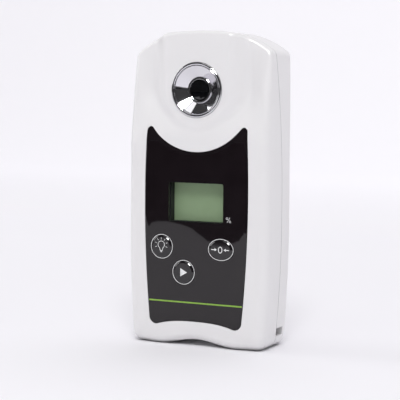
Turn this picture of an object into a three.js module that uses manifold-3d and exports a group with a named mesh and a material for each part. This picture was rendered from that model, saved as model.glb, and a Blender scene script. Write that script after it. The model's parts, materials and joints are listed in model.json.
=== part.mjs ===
// Digital honey refractometer: a hand-held instrument of two moulded shells, with a metal sample well over a
// prism, a display behind a clear window, three domed keys and one battery behind a screwed cover at the back.
// Millimetres. +Z up, the face towards -Y, the origin under the middle of the two feet.

import * as THREE from 'three';
import { mergeVertices } from 'three/addons/utils/BufferGeometryUtils.js';
import Module from 'manifold-3d';

const wasm = await Module();
wasm.setup();

// Clearances
const fit = 0.3;
const overrun = 3;

// Case
const caseWidth = 60.2;
const trimRise = 0.4;
const sideWall = 2.2;
const faceWall = 3;
const backWall = 2.2;

// Case outline: bowed sides, an arch between the feet, a crowned top that falls off to the shoulders
const widestShare = 0.38;
const footDrawIn = 2;
const headDrawIn = 1.63;
const footArchRise = 2.4;
const footArchHalfSpan = 16.8;
const crownRadius = 130;
const shoulderBreak = 11;
const shoulderRadius = 32.7;
const footCornerRadius = 4;
const headCornerRadius = 3.5;
const faceEdgeRadius = 3;
const faceTopEdgeRadius = 1.6;
const backEdgeRadius = 4.5;
const backTopEdgeRadius = 2;

// Hood: the raised, round-ended platform that carries the sample well
const wellDrop = 22.55;
const hoodHeight = 5;
const hoodRidgeRadius = 14.2;
const hoodFootBlend = 1.2;
const shoulderRampStartShare = 0.66;
const shoulderRamp = 20;
const shoulderEdgeSlope = 0.145;
const shoulderEdgeStartShare = 0.645;
const shoulderBlendStart = 20;
const shoulderBlendWidth = 7;

// Parting line, which bends forward towards the head
const partingMiddle = 1.2;
const partingFootSink = 0.9;
const partingHeadSink = 6;
const partingHeadStartShare = 0.5;

// Control panel
const panelHalfWidth = 21.8;
const panelBowRadius = 480;
const panelWidestShare = 0.47;
const panelFoot = 9.7;
const panelFootArch = 2.1;
const panelFootHalfSpan = 15.2;
const panelHeadRadius = 23.7;
const panelFootCorner = 2.75;
const panelTipRadius = 1.35;
const panelThickness = 1.2;
const panelAboveWindow = 11.51;

// Display
const windowHalfWidth = 11.6;
const windowHalfHeight = 7.7;
const windowCornerRadius = 0.8;
const glassRecess = 4.8;
const glassThickness = 1.1;
const glassMargin = 0.85;
const tunnelWall = 0.95;
const frameWall = 0.8;
const stripHeight = 1.6;
const stripEndGap = 1;
const backlightMargin = 1.4;

// Keys
const roundKeyRadius = 4.8;
const ovalKeyHalfWidth = 5.4;
const ovalKeyHalfHeight = 4.2;
const keyFlange = 1.1;
const keyFlangeThickness = 0.8;
const keyTravel = 0.45;
const keyTopGap = 1.95;
const keyRowRise = 9.54;
const lightKeyX = -14.45;
const startKeyX = -4.95;
const zeroKeyX = 10.75;
const plungerRadius = 1.6;
const plungerDip = 1.5;
const switchHalfWidth = 3;
const switchFloor = 1;
const plungerRoom = 0.95;

// Main board
const boardThickness = 1.6;
const boardHalfWidth = 21.5;
const boardAboveScrews = 7;
const boardBelowKeys = 5.5;
const boardBelowWell = 15.45;
const boardPostRadius = 2.4;
const boardPostInset = 3;
const chipHalfWidth = 4;
const chipThickness = 1.2;
const chipX = 14.4;

// Sample well, prism and seals
const rimRadius = 10.5;
const rimBand = 1.1;
const rimEdge = 0.2;
const flangeThickness = 1.4;
const wellBarrelRadius = 8.6;
const wellDepth = 3;
const prismWindowRadius = 4.1;
const prismLedge = 0.8;
const lipThickness = 0.4;
const wellSealThickness = 0.6;
const wellSeatRadius = 14;
const wellSeatDepth = 4.5;
const prismSealThickness = 0.6;
const prismCollarRadius = 5;
const prismCollarThickness = 1.3;
const prismHalfHeight = 4.8;
const prismRunDepth = 3.8;
const prismHalfWidth = 3.5;

// Optics block
const holderHalfWidth = 14;
const holderHalfHeight = 6.4;
const holderThickness = 2.5;
const holderScrewInset = 1.6;
const cheekInner = 4.2;
const cheekThickness = 1.2;
const beamToLens = 3;
const beamToBoard = 8;
const lensRadius = 2.2;
const lensThickness = 1.4;
const lensBarThickness = 2.4;
const lensBarHalfHeight = 3.3;
const lightBoardHalfWidth = 6;
const lightBoardHalfLength = 5;
const opticsBoardThickness = 1;
const ledRadius = 1.5;
const ledHeight = 2.6;
const sensorHalfWidth = 4;
const sensorHalfHeight = 1.3;
const sensorThickness = 1.6;
const ribbonHalfWidth = 3;
const ribbonThickness = 0.4;

// Battery, a size AAA cell, and its bay
const batteryRadius = 5.25;
const batteryLength = 44.5;
const batteryNubRadius = 1.9;
const batteryNubLength = 0.9;
const bayHalfWidth = 6.2;
const bayWall = 1.2;
const springSpace = 3.6;
const springRadius = 3.2;
const springWire = 0.35;
const springTurns = 3;
const contactThickness = 0.5;
const contactHalfWidth = 4;

// Battery cover
const coverHalfWidth = 10;
const coverFoot = 8.2;
const coverEnd = 7.4;
const coverCornerRadius = 3;
const coverThickness = 1.8;
const coverLedge = 1.8;
const coverSealWidth = 0.9;
const coverSealThickness = 0.6;
const coverSealMargin = 1;

// Case seal in the rim between the shells
const sealInset = 0.8;
const sealWidth = 0.6;
const sealThickness = 0.5;

// Strap slot at the lower corner of the rear shell
const slotFoot = 4.4;
const slotHeight = 3.1;
const slotInner = 22;
const slotPassWidth = 4;
const slotPost = 5.6;
const slotWall = 1.6;

// Screws
const caseScrewInset = 8.1;
const caseScrewFoot = 16;
const caseScrewDrop = 17;
const caseScrewRadius = 1.3;
const caseScrewHeadRadius = 2.6;
const caseScrewHeadThickness = 1.8;
const caseScrewSink = 3.8;
const caseScrewLength = 14.4;
const bossWall = 1.7;
const smallScrewRadius = 0.9;
const smallScrewHeadRadius = 1.7;
const smallScrewHeadThickness = 1.2;
const boardScrewLength = 4;
const holderScrewLength = 4.4;
const coverScrewRadius = 1.1;
const coverScrewHeadRadius = 2.3;
const coverScrewHeadThickness = 1;
const coverScrewLength = 5.5;
const driveReachShare = 0.35;
const driveSlimShare = 0.12;
const driveDepthShare = 0.5;
const headRimShare = 0.67;
const headFaceShare = 0.85;

// Facets
const roundSides = 24;
const smallSides = 12;
const wellSides = 32;
const cornerSteps = 4;
const edgeSteps = 3;
const springSteps = 16;
const wireSides = 3;
const ribbonSteps = 24;

// The case's depth, worked out from what it holds between the keys and the battery cover
const switchDepth = faceWall + fit + keyFlangeThickness + keyTravel + fit;
const boardSetback = switchDepth + plungerDip + plungerRoom + switchFloor + fit;
const cellSetback = boardSetback + boardThickness + fit / 2 + bayWall + fit + batteryRadius;
const caseDepth = trimRise + cellSetback + batteryRadius + fit * 1.5 + coverThickness;
const frontY = -caseDepth / 2 + trimRise;
const backY = caseDepth / 2;
const boardFront = frontY + boardSetback;
const boardBack = boardFront + boardThickness;
const batteryY = frontY + cellSetback;
const wellSeatBack = frontY + wellSeatDepth;

// Its height, worked out from the screws, keys, window and well above one another
const frameHalfHeight = windowHalfHeight + glassMargin + fit + frameWall;
const boardFoot = caseScrewFoot + boardAboveScrews;
const startKeyZ = boardFoot + boardBelowKeys;
const keyRowZ = startKeyZ + keyRowRise;
const windowZ = keyRowZ + roundKeyRadius + keyFlange + keyTopGap + frameHalfHeight;
const wellZ = windowZ + windowHalfHeight + panelAboveWindow + panelHeadRadius;
const caseHeight = wellZ + wellDrop;
const boardHead = wellZ - boardBelowWell;
const holderScrewX = holderHalfWidth - holderScrewInset;

// Solids and meshes

function toSolid(geometry) {
  const bare = geometry.clone();
  bare.deleteAttribute('normal');
  bare.deleteAttribute('uv');
  const merged = mergeVertices(bare, 1e-5);
  const vertProperties = new Float32Array(merged.attributes.position.array);
  const triVerts = new Uint32Array(merged.index.array);
  const solid = new wasm.Manifold(new wasm.Mesh({ numProp: 3, vertProperties, triVerts }));
  if (solid.volume() > 0) return solid;
  for (let i = 0; i < triVerts.length; i += 3) [triVerts[i], triVerts[i + 1]] = [triVerts[i + 1], triVerts[i]];
  return new wasm.Manifold(new wasm.Mesh({ numProp: 3, vertProperties, triVerts }));
}

function toGeometry(solid) {
  const { vertProperties, triVerts, numProp } = solid.getMesh();
  const positions = new Float32Array((vertProperties.length / numProp) * 3);
  for (let i = 0; i < positions.length / 3; i += 1) {
    positions.set(vertProperties.subarray(i * numProp, i * numProp + 3), i * 3);
  }
  const geometry = new THREE.BufferGeometry();
  geometry.setAttribute('position', new THREE.BufferAttribute(positions, 3));
  geometry.setIndex(new THREE.BufferAttribute(new Uint32Array(triVerts), 1));
  geometry.computeVertexNormals();
  return geometry;
}

const refractometer = new THREE.Group();

function addPart(parent, name, solid, finish) {
  const mesh = new THREE.Mesh(toGeometry(solid), finish.clone());
  mesh.name = name;
  parent.add(mesh);
  return mesh;
}

function addGroup(x, y, z) {
  const group = new THREE.Group();
  group.position.set(x, y, z);
  refractometer.add(group);
  return group;
}

function joined(first, ...others) {
  return others.reduce((whole, piece) => whole.add(piece), first);
}

function box(left, right, front, back, low, high) {
  const geometry = new THREE.BoxGeometry(right - left, back - front, high - low);
  geometry.translate((left + right) / 2, (front + back) / 2, (low + high) / 2);
  return toSolid(geometry);
}

// A solid of revolution about the Y axis. The profile is a list of [radius, y] pairs.
function turned(profile, sides = roundSides) {
  return toSolid(new THREE.LatheGeometry(profile.map(([radius, y]) => new THREE.Vector2(radius, y)), sides));
}

function rod(radius, front, back, sides = roundSides) {
  return turned([[0, front], [radius, front], [radius, back], [0, back]], sides);
}

function tube(outer, inner, front, back, sides = roundSides) {
  return turned([[inner, front], [outer, front], [outer, back], [inner, back], [inner, front]], sides);
}

// An X-Z outline pushed along Y from front to back
function pushed(shape, front, back, curveSegments = cornerSteps) {
  const geometry = new THREE.ExtrudeGeometry(shape, { depth: back - front, bevelEnabled: false, curveSegments });
  geometry.rotateX(Math.PI / 2);
  geometry.translate(0, back, 0);
  return toSolid(geometry);
}

// A Y-Z outline pushed along X, the same distance to both sides of the middle
function pushedAcross(shape, halfWidth) {
  const geometry = new THREE.ExtrudeGeometry(shape, { depth: 2 * halfWidth, bevelEnabled: false });
  geometry.translate(0, 0, -halfWidth);
  const turn = new THREE.Matrix4();
  turn.makeBasis(new THREE.Vector3(0, 1, 0), new THREE.Vector3(0, 0, 1), new THREE.Vector3(1, 0, 0));
  geometry.applyMatrix4(turn);
  return toSolid(geometry);
}

function roundedRectangle(halfWidth, low, high, radius) {
  const shape = new THREE.Shape();
  shape.moveTo(halfWidth, low + radius);
  shape.lineTo(halfWidth, high - radius);
  shape.absarc(halfWidth - radius, high - radius, radius, 0, Math.PI / 2);
  shape.lineTo(radius - halfWidth, high);
  shape.absarc(radius - halfWidth, high - radius, radius, Math.PI / 2, Math.PI);
  shape.lineTo(-halfWidth, low + radius);
  shape.absarc(radius - halfWidth, low + radius, radius, Math.PI, 1.5 * Math.PI);
  shape.lineTo(halfWidth - radius, low);
  shape.absarc(halfWidth - radius, low + radius, radius, 1.5 * Math.PI, 2 * Math.PI);
  return shape;
}

function smoothStep(share) {
  const t = Math.min(Math.max(share, 0), 1);
  return t * t * (3 - 2 * t);
}

// Outlines with a left-right symmetry

// Closes a symmetric outline from a side, a foot and a head curve, with a round corner where two curves meet.
function makeOutline({ sideAt, footAt, headAt, footRadius, headRadius }) {
  const step = footRadius / 100;
  const slope = (curve, x) => (curve(x + step) - curve(x - step)) / (2 * step);
  const corner = (curve, radius, sign) => {
    let centre = [sideAt(curve(0)) - radius, curve(sideAt(curve(0)) - radius) - sign * radius];
    let angle = sign * Math.PI / 2;
    for (let pass = 0; pass < 12; pass += 1) {
      const touchX = centre[0] + radius * Math.cos(angle);
      angle = Math.atan2(sign, -sign * slope(curve, touchX));
      const centreZ = curve(centre[0] + radius * Math.cos(angle)) - radius * Math.sin(angle);
      centre = [sideAt(centreZ) - radius, centreZ];
    }
    return {
      centre,
      radius,
      touchX: centre[0] + radius * Math.cos(angle),
      x: centre[0] + radius * Math.cos(angle / 2),
      z: centre[1] + radius * Math.sin(angle / 2),
    };
  };
  const foot = corner(footAt, footRadius, -1);
  const head = corner(headAt, headRadius, 1);
  const arcRise = (arc, run) => Math.sqrt(Math.max(arc.radius ** 2 - run ** 2, 0));
  const footZ = (x) => {
    return Math.abs(x) < foot.touchX ? footAt(x) : foot.centre[1] - arcRise(foot, Math.abs(x) - foot.centre[0]);
  };
  const headZ = (x) => {
    return Math.abs(x) < head.touchX ? headAt(x) : head.centre[1] + arcRise(head, Math.abs(x) - head.centre[0]);
  };
  const sideX = (z) => {
    if (z < foot.centre[1]) return foot.centre[0] + arcRise(foot, foot.centre[1] - z);
    if (z > head.centre[1]) return head.centre[0] + arcRise(head, z - head.centre[1]);
    return sideAt(z);
  };
  // Across runs from -1 at the left edge to 1 at the right one, up from 0 at the foot to 1 at the head.
  const point = (across, up) => {
    const sideZ = THREE.MathUtils.lerp(foot.z, head.z, up);
    const footPull = (1 - up) * (footZ(across * foot.x) - foot.z);
    const headPull = up * (headZ(across * head.x) - head.z);
    return [across * sideX(sideZ), sideZ + footPull + headPull];
  };
  return { point, halfWidth: sideX((foot.z + head.z) / 2), height: head.z - foot.z };
}

// Distance from a point to the edge of an outline
function edgeDistance(outline) {
  const samples = 60;
  const edge = [];
  for (let i = 0; i < samples; i += 1) edge.push(outline.point(2 * i / samples - 1, 0));
  for (let i = 0; i < samples; i += 1) edge.push(outline.point(1, i / samples));
  for (let i = 0; i < samples; i += 1) edge.push(outline.point(1 - 2 * i / samples, 1));
  for (let i = 0; i < samples; i += 1) edge.push(outline.point(-1, 1 - i / samples));
  return (x, z) => {
    let nearest = Infinity;
    edge.forEach(([ax, az], i) => {
      const [bx, bz] = edge[(i + 1) % edge.length];
      const [runX, runZ] = [bx - ax, bz - az];
      const t = Math.min(Math.max(((x - ax) * runX + (z - az) * runZ) / (runX ** 2 + runZ ** 2), 0), 1);
      nearest = Math.min(nearest, Math.hypot(x - ax - t * runX, z - az - t * runZ));
    });
    return nearest;
  };
}

// How far a rounded edge has fallen away at a distance from the outline
function edgeFall(distance, radius) {
  if (distance >= radius) return 0;
  return radius - Math.sqrt(radius ** 2 - (radius - distance) ** 2);
}

// Grid shares from 0 to 1: a few close lines for the rounded edges, the given breaks between them
function gridShares(edgeShare, steps, breaks) {
  const shares = [];
  for (let i = 0; i < steps; i += 1) shares.push(edgeShare * (1 - Math.cos((i / steps) * Math.PI / 2)));
  const inner = breaks.filter((share) => share > edgeShare * 1.2 && share < 1 - edgeShare * 1.2);
  return [...shares, edgeShare, ...inner, 1 - edgeShare, ...shares.map((share) => 1 - share).reverse()];
}

function evenShares(from, to, count) {
  return Array.from({ length: count + 1 }, (_, i) => from + (to - from) * i / count);
}

// A closed solid over an outline, between two faces that give Y from x, z and the distance to the edge
function slab(outline, acrossShares, upShares, frontFace, backFace) {
  const distance = edgeDistance(outline);
  const positions = [];
  const index = [];
  const columns = acrossShares.length;
  const rows = upShares.length;
  const at = (side, row, column) => (side * rows + row) * columns + column;
  [frontFace, backFace].forEach((face) => {
    upShares.forEach((up) => {
      acrossShares.forEach((share) => {
        const [x, z] = outline.point(2 * share - 1, up);
        const onEdge = up === 0 || up === 1 || share === 0 || share === 1;
        positions.push(x, face(x, z, onEdge ? 0 : distance(x, z)), z);
      });
    });
  });
  const quad = (a, b, c, d) => index.push(a, b, c, a, c, d);
  for (let row = 0; row + 1 < rows; row += 1) {
    for (let column = 0; column + 1 < columns; column += 1) {
      quad(at(0, row, column), at(0, row, column + 1), at(0, row + 1, column + 1), at(0, row + 1, column));
      quad(at(1, row, column), at(1, row + 1, column), at(1, row + 1, column + 1), at(1, row, column + 1));
    }
  }
  const last = [rows - 1, columns - 1];
  for (let column = 0; column < last[1]; column += 1) {
    quad(at(1, 0, column), at(1, 0, column + 1), at(0, 0, column + 1), at(0, 0, column));
    quad(at(0, last[0], column), at(0, last[0], column + 1), at(1, last[0], column + 1), at(1, last[0], column));
  }
  for (let row = 0; row < last[0]; row += 1) {
    quad(at(0, row + 1, 0), at(1, row + 1, 0), at(1, row, 0), at(0, row, 0));
    quad(at(0, row, last[1]), at(1, row, last[1]), at(1, row + 1, last[1]), at(0, row + 1, last[1]));
  }
  const geometry = new THREE.BufferGeometry();
  geometry.setAttribute('position', new THREE.Float32BufferAttribute(positions, 3));
  geometry.setIndex(index);
  return toSolid(geometry);
}

// The case outline and its faces

function caseOutline(inset) {
  const widestZ = caseHeight * widestShare;
  const sideAt = (z) => {
    const drawIn = z < widestZ ? footDrawIn : headDrawIn;
    const run = z < widestZ ? widestZ : caseHeight - widestZ;
    return caseWidth / 2 - inset - drawIn * ((z - widestZ) / run) ** 2;
  };
  const footAt = (x) => {
    const run = Math.min(Math.abs(x) / footArchHalfSpan, 1);
    return inset + footArchRise * (1 + Math.cos(Math.PI * run)) / 2;
  };
  const headAt = (x) => {
    const past = Math.max(Math.abs(x) - shoulderBreak, 0);
    return caseHeight - inset - x ** 2 / (2 * crownRadius) - past ** 2 / (2 * shoulderRadius);
  };
  const cornerRadius = (radius) => Math.max(radius - inset, radius / 4);
  return makeOutline({
    sideAt,
    footAt,
    headAt,
    footRadius: cornerRadius(footCornerRadius),
    headRadius: cornerRadius(headCornerRadius),
  });
}

// How far the face has stepped back from its front plane: the shoulders sink beside the hood, whose flank
// falls at 45 degrees from a ridge that is straight above the well's centre and round below it.
function faceDrop(x, z) {
  const flank = (z < wellZ ? Math.hypot(x, z - wellZ) : Math.abs(x)) - hoodRidgeRadius;
  const besideHood = hoodHeight * smoothStep((z - caseHeight * shoulderRampStartShare) / shoulderRamp);
  const besideEdge = shoulderEdgeSlope * Math.max(z - caseHeight * shoulderEdgeStartShare, 0);
  const outward = smoothStep((Math.abs(x) - shoulderBlendStart) / shoulderBlendWidth);
  const shoulder = THREE.MathUtils.lerp(besideHood, besideEdge, outward);
  const wall = Math.max(flank, 0);
  const mix = Math.max(hoodFootBlend - Math.abs(shoulder - wall), 0);
  return Math.max(Math.min(shoulder, wall) - mix ** 2 / (4 * hoodFootBlend), 0);
}

function faceY(x, z) {
  return frontY + faceDrop(x, z);
}

function partingY(z) {
  const middleZ = caseHeight / 2;
  const footRun = Math.max(middleZ - z, 0) / middleZ;
  const headRun = Math.max(z - caseHeight * partingHeadStartShare, 0) / (caseHeight * (1 - partingHeadStartShare));
  return partingMiddle - partingFootSink * footRun ** 2 - partingHeadSink * headRun ** 2;
}

const shell = caseOutline(0);
const inside = caseOutline(sideWall);
const ridgeShare = hoodRidgeRadius / shell.halfWidth / 2;
const flankShare = (hoodRidgeRadius + hoodHeight) / shell.halfWidth / 2;
const faceAcross = gridShares(faceEdgeRadius / (2 * shell.halfWidth), edgeSteps, [
  ...evenShares(0, 0.5 - flankShare, 3),
  ...evenShares(0.5 - flankShare, 0.5 - ridgeShare, 2).slice(1),
  ...evenShares(0.5 - ridgeShare, 0.5 + ridgeShare, 8).slice(1),
  ...evenShares(0.5 + ridgeShare, 0.5 + flankShare, 2).slice(1),
  ...evenShares(0.5 + flankShare, 1, 3).slice(1),
]);
const faceUp = gridShares(faceEdgeRadius / shell.height, edgeSteps, [
  ...evenShares(0, shoulderEdgeStartShare, 6),
  ...evenShares(shoulderEdgeStartShare, 1, 15).slice(1),
]);
const plainAcross = gridShares(backEdgeRadius / (2 * shell.halfWidth), edgeSteps, evenShares(0, 1, 6));
const plainUp = gridShares(backEdgeRadius / shell.height, edgeSteps, evenShares(0, 1, 10));

// Places that several pieces share

const bayFoot = coverFoot + coverEnd;
const cellFoot = bayFoot + springSpace + fit;
const bayHead = cellFoot + batteryLength + batteryNubLength + contactThickness + 3 * fit;
const coverHead = bayHead + coverEnd;
const coverScrewPlaces = [coverFoot + coverEnd / 2, coverHead - coverEnd / 2];
const ledgeY = backY - coverThickness - fit;
const coverScrewTip = backY - coverScrewHeadThickness - coverScrewLength;
const panelBack = panelThickness + fit;
const caseScrewSeat = backY - caseScrewSink;
const caseScrewTip = caseScrewSeat - caseScrewLength;
const boardScrewPlaces = [];
[boardFoot + boardPostInset, boardHead - boardPostInset].forEach((z) => {
  [-1, 1].forEach((side) => boardScrewPlaces.push([side * (boardHalfWidth - boardPostInset), z]));
});
const caseScrewPlaces = [];
[caseScrewFoot, caseHeight - caseScrewDrop].forEach((z) => {
  [-1, 1].forEach((side) => caseScrewPlaces.push([side * (caseWidth / 2 - caseScrewInset), z]));
});
const keys = [
  { name: 'light', x: lightKeyX, z: keyRowZ, halfWidth: roundKeyRadius, halfHeight: roundKeyRadius },
  { name: 'start', x: startKeyX, z: startKeyZ, halfWidth: roundKeyRadius, halfHeight: roundKeyRadius },
  { name: 'zero', x: zeroKeyX, z: keyRowZ, halfWidth: ovalKeyHalfWidth, halfHeight: ovalKeyHalfHeight },
];

function keySolid(key, growth, profile) {
  const geometry = new THREE.LatheGeometry(profile.map(([share, y]) => new THREE.Vector2(share, y)), roundSides);
  geometry.scale(key.halfWidth + growth, 1, key.halfHeight + growth);
  return toSolid(geometry);
}

function keyHole(key, front, back) {
  return keySolid(key, fit, [[0, front], [1, front], [1, back], [0, back]]).translate([key.x, 0, key.z]);
}

// Finishes

const whiteShell = new THREE.MeshStandardMaterial({ color: 0xe6e5e7, roughness: 0.45, metalness: 0 });
const blackGloss = new THREE.MeshStandardMaterial({ color: 0x1a1519, roughness: 0.08, metalness: 0 });
const clearSheet = new THREE.MeshStandardMaterial({ color: 0xdfe6e2, roughness: 0.05, metalness: 0 });
const polishedSteel = new THREE.MeshStandardMaterial({ color: 0xc9ccd0, roughness: 0.12, metalness: 1 });
const darkPlastic = new THREE.MeshStandardMaterial({ color: 0x35363a, roughness: 0.55, metalness: 0 });
const rubber = new THREE.MeshStandardMaterial({ color: 0x1d1d1f, roughness: 0.85, metalness: 0 });
const opticalGlass = new THREE.MeshStandardMaterial({ color: 0x101214, roughness: 0.04, metalness: 0 });
const boardGreen = new THREE.MeshStandardMaterial({ color: 0x1f5a3a, roughness: 0.5, metalness: 0 });
const displayGreen = new THREE.MeshStandardMaterial({ color: 0x798c72, roughness: 0.3, metalness: 0 });
const amberFilm = new THREE.MeshStandardMaterial({ color: 0xb8742a, roughness: 0.35, metalness: 0 });
const zincSteel = new THREE.MeshStandardMaterial({ color: 0xa9abae, roughness: 0.35, metalness: 1 });
const cellSleeve = new THREE.MeshStandardMaterial({ color: 0x3c4a58, roughness: 0.3, metalness: 0.4 });
const ledEpoxy = new THREE.MeshStandardMaterial({ color: 0xf2d9a0, roughness: 0.15, metalness: 0 });

// Screws

function screw(radius, length, headRadius, headThickness) {
  const driveDepth = headThickness * driveDepthShare;
  const body = turned([
    [0, -length],
    [radius / 2, -length],
    [radius, radius / 2 - length],
    [radius, 0],
    [headRadius, 0],
    [headRadius, headThickness * headRimShare],
    [headRadius * headFaceShare, headThickness],
    [0, headThickness],
  ], smallSides);
  const wing = headRadius * driveReachShare;
  const slim = headRadius * driveSlimShare;
  const top = headThickness + overrun;
  const bottom = headThickness - driveDepth;
  return body.subtract(box(-wing, wing, bottom, top, -slim, slim)).subtract(box(-slim, slim, bottom, top, -wing, wing));
}

const caseScrew = screw(caseScrewRadius, caseScrewLength, caseScrewHeadRadius, caseScrewHeadThickness);
const boardScrew = screw(smallScrewRadius, boardScrewLength, smallScrewHeadRadius, smallScrewHeadThickness);
const holderScrew = screw(smallScrewRadius, holderScrewLength, smallScrewHeadRadius, smallScrewHeadThickness);
const coverScrew = screw(coverScrewRadius, coverScrewLength, coverScrewHeadRadius, coverScrewHeadThickness);

// Control panel, its recess and the display window

function panelOutline(growth) {
  const widestZ = caseHeight * panelWidestShare;
  const sideAt = (z) => panelHalfWidth + growth - (z - widestZ) ** 2 / (2 * panelBowRadius);
  const footAt = (x) => {
    const run = Math.min(Math.abs(x) / panelFootHalfSpan, 1);
    return panelFoot - growth - panelFootArch * (1 - Math.cos(Math.PI * run)) / 2;
  };
  const headAt = (x) => wellZ - Math.sqrt(Math.max((panelHeadRadius - growth) ** 2 - x ** 2, 0));
  return makeOutline({
    sideAt,
    footAt,
    headAt,
    footRadius: panelFootCorner + growth,
    headRadius: panelTipRadius + growth,
  });
}

const panelSpan = wellZ - panelFoot;
const panelAcross = gridShares(panelFootCorner / (2 * panelHalfWidth), edgeSteps, evenShares(0, 1, 14));
const panelUp = gridShares(panelFootCorner / panelSpan, edgeSteps, evenShares(0, 1, 8));

function panelSlab(growth, front, back) {
  const frontFace = (x, z) => faceY(x, z) + front;
  const backFace = (x, z) => faceY(x, z) + back;
  return slab(panelOutline(growth), panelAcross, panelUp, frontFace, backFace);
}

function windowShape(growth) {
  const low = windowZ - windowHalfHeight - growth;
  const high = windowZ + windowHalfHeight + growth;
  return roundedRectangle(windowHalfWidth + growth, low, high, windowCornerRadius + Math.max(growth, 0));
}

let panel = panelSlab(0, 0, panelThickness);
panel = panel.subtract(pushed(windowShape(0), frontY - overrun, frontY + panelThickness + overrun));
keys.forEach((key) => {
  panel = panel.subtract(keyHole(key, frontY - overrun, frontY + panelThickness + overrun));
});
addPart(refractometer, 'control_panel', panel, blackGloss);
addPart(refractometer, 'display_window', pushed(windowShape(-fit), frontY, frontY + panelThickness), clearSheet);

// Front cover

const frontBack = (x, z) => partingY(z);
const tunnelOuterWidth = windowHalfWidth + tunnelWall - fit;
const tunnelOuterHeight = windowHalfHeight + tunnelWall - fit;
const frontCavityFace = (x, z) => faceY(x, z) + faceWall;

const faceEdge = (z) => {
  const toHead = smoothStep((z - caseHeight / 2) / (caseHeight / 2));
  return THREE.MathUtils.lerp(faceEdgeRadius, faceTopEdgeRadius, toHead);
};
let frontCover = slab(shell, faceAcross, faceUp, (x, z, d) => faceY(x, z) + edgeFall(d, faceEdge(z)), frontBack);
frontCover = frontCover.subtract(slab(inside, plainAcross, plainUp, frontCavityFace, (x, z) => partingY(z) + overrun));
const wellSeat = rod(wellSeatRadius, frontY + faceWall / 2, wellSeatBack).translate([0, 0, wellZ]);
frontCover = frontCover.add(wellSeat);
boardScrewPlaces.forEach(([x, z]) => {
  const postFront = faceY(x, z) + faceWall - fit * 3;
  frontCover = frontCover.add(rod(boardPostRadius, postFront, boardFront - fit, smallSides).translate([x, 0, z]));
});
caseScrewPlaces.forEach(([x, z]) => {
  const bossFront = faceY(x, z) + faceWall - fit * 3;
  const bossRadius = caseScrewRadius + fit + bossWall;
  frontCover = frontCover.add(rod(bossRadius, bossFront, partingY(z), smallSides).translate([x, 0, z]));
});
boardScrewPlaces.forEach(([x, z]) => {
  const tip = boardBack - boardScrewLength;
  frontCover = frontCover.subtract(rod(smallScrewRadius + fit, tip, boardFront + overrun, smallSides).translate([x, 0, z]));
});
caseScrewPlaces.forEach(([x, z]) => {
  const hole = rod(caseScrewRadius + fit, caseScrewTip - fit, partingY(z) + overrun, smallSides);
  frontCover = frontCover.subtract(hole.translate([x, 0, z]));
});

// Places along the well's axis, from the front to the back
const flangeBack = frontY - trimRise + flangeThickness;
const seatFloor = flangeBack + wellSealThickness + 2 * fit;
const lipBack = frontY + wellDepth;
const prismSealFront = lipBack + fit;
const collarFront = prismSealFront + prismSealThickness + fit;
const collarBack = collarFront + prismCollarThickness;
const holderFront = wellSeatBack + fit;
const holderBack = holderFront + holderThickness;

frontCover = frontCover.subtract(panelSlab(fit, -overrun, panelBack));
frontCover = frontCover.subtract(rod(rimRadius + fit, frontY - overrun, seatFloor).translate([0, 0, wellZ]));
frontCover = frontCover.subtract(rod(wellBarrelRadius + fit, frontY - overrun, wellSeatBack + overrun).translate([0, 0, wellZ]));
[-1, 1].forEach((side) => {
  const hole = rod(smallScrewRadius + fit, holderBack + fit - holderScrewLength - fit, wellSeatBack + overrun, smallSides);
  frontCover = frontCover.subtract(hole.translate([side * holderScrewX, 0, wellZ]));
});
frontCover = frontCover.subtract(box(
  -holderHalfWidth - fit,
  holderHalfWidth + fit,
  wellSeatBack,
  boardFront,
  wellZ - holderHalfHeight - fit,
  wellZ + holderHalfHeight + fit,
));
keys.forEach((key) => {
  frontCover = frontCover.subtract(keyHole(key, frontY - overrun, frontY + faceWall + overrun));
});
frontCover = frontCover.subtract(box(
  -tunnelOuterWidth - fit,
  tunnelOuterWidth + fit,
  frontY - overrun,
  frontY + faceWall + overrun,
  windowZ - tunnelOuterHeight - fit,
  windowZ + tunnelOuterHeight + fit,
));
addPart(refractometer, 'front_cover', frontCover, whiteShell);

// Rear cover

const rearFront = (x, z) => partingY(z) + fit;
const rearEdge = (z) => {
  const toHead = smoothStep((z - caseHeight / 2) / (caseHeight / 2));
  return THREE.MathUtils.lerp(backEdgeRadius, backTopEdgeRadius, toHead);
};
const rearOuter = slab(shell, plainAcross, plainUp, rearFront, (x, z, d) => backY - edgeFall(d, rearEdge(z)));
const rearHollow = slab(inside, plainAcross, plainUp, (x, z) => partingY(z) - overrun, (x, z, d) => {
  return backY - backWall - edgeFall(d, rearEdge(z) - backTopEdgeRadius / 2);
});
let rearInside = box(
  -bayHalfWidth - bayWall,
  bayHalfWidth + bayWall,
  batteryY - batteryRadius - fit - bayWall,
  backY - backWall / 2,
  bayFoot - bayWall,
  bayHead + bayWall,
);
const padShape = roundedRectangle(coverHalfWidth + bayWall, coverFoot - bayWall, coverHead + bayWall, coverCornerRadius);
rearInside = rearInside.add(pushed(padShape, ledgeY - coverLedge, backY - backWall / 2));
coverScrewPlaces.forEach((z) => {
  const boss = rod(coverScrewRadius + fit + bossWall, coverScrewTip - bossWall, ledgeY, smallSides);
  rearInside = rearInside.add(boss.translate([0, 0, z]));
});
caseScrewPlaces.forEach(([x, z]) => {
  const boss = rod(caseScrewHeadRadius + fit + bossWall, partingY(z) + 2 * fit, backY - backWall / 2, smallSides);
  rearInside = rearInside.add(boss.translate([x, 0, z]));
});
const slotHead = slotFoot + slotHeight;
const slotFront = partingY(slotFoot);
rearInside = rearInside.add(rearOuter.intersect(box(
  slotInner - slotWall,
  caseWidth,
  slotFront - slotWall,
  backY,
  0,
  slotHead + slotWall,
)).intersect(slab(caseOutline(sideWall / 2), plainAcross, plainUp, (x, z) => partingY(z) + fit, () => backY - backWall / 2)));
let rearCover = rearOuter.subtract(rearHollow).add(rearInside);
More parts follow.
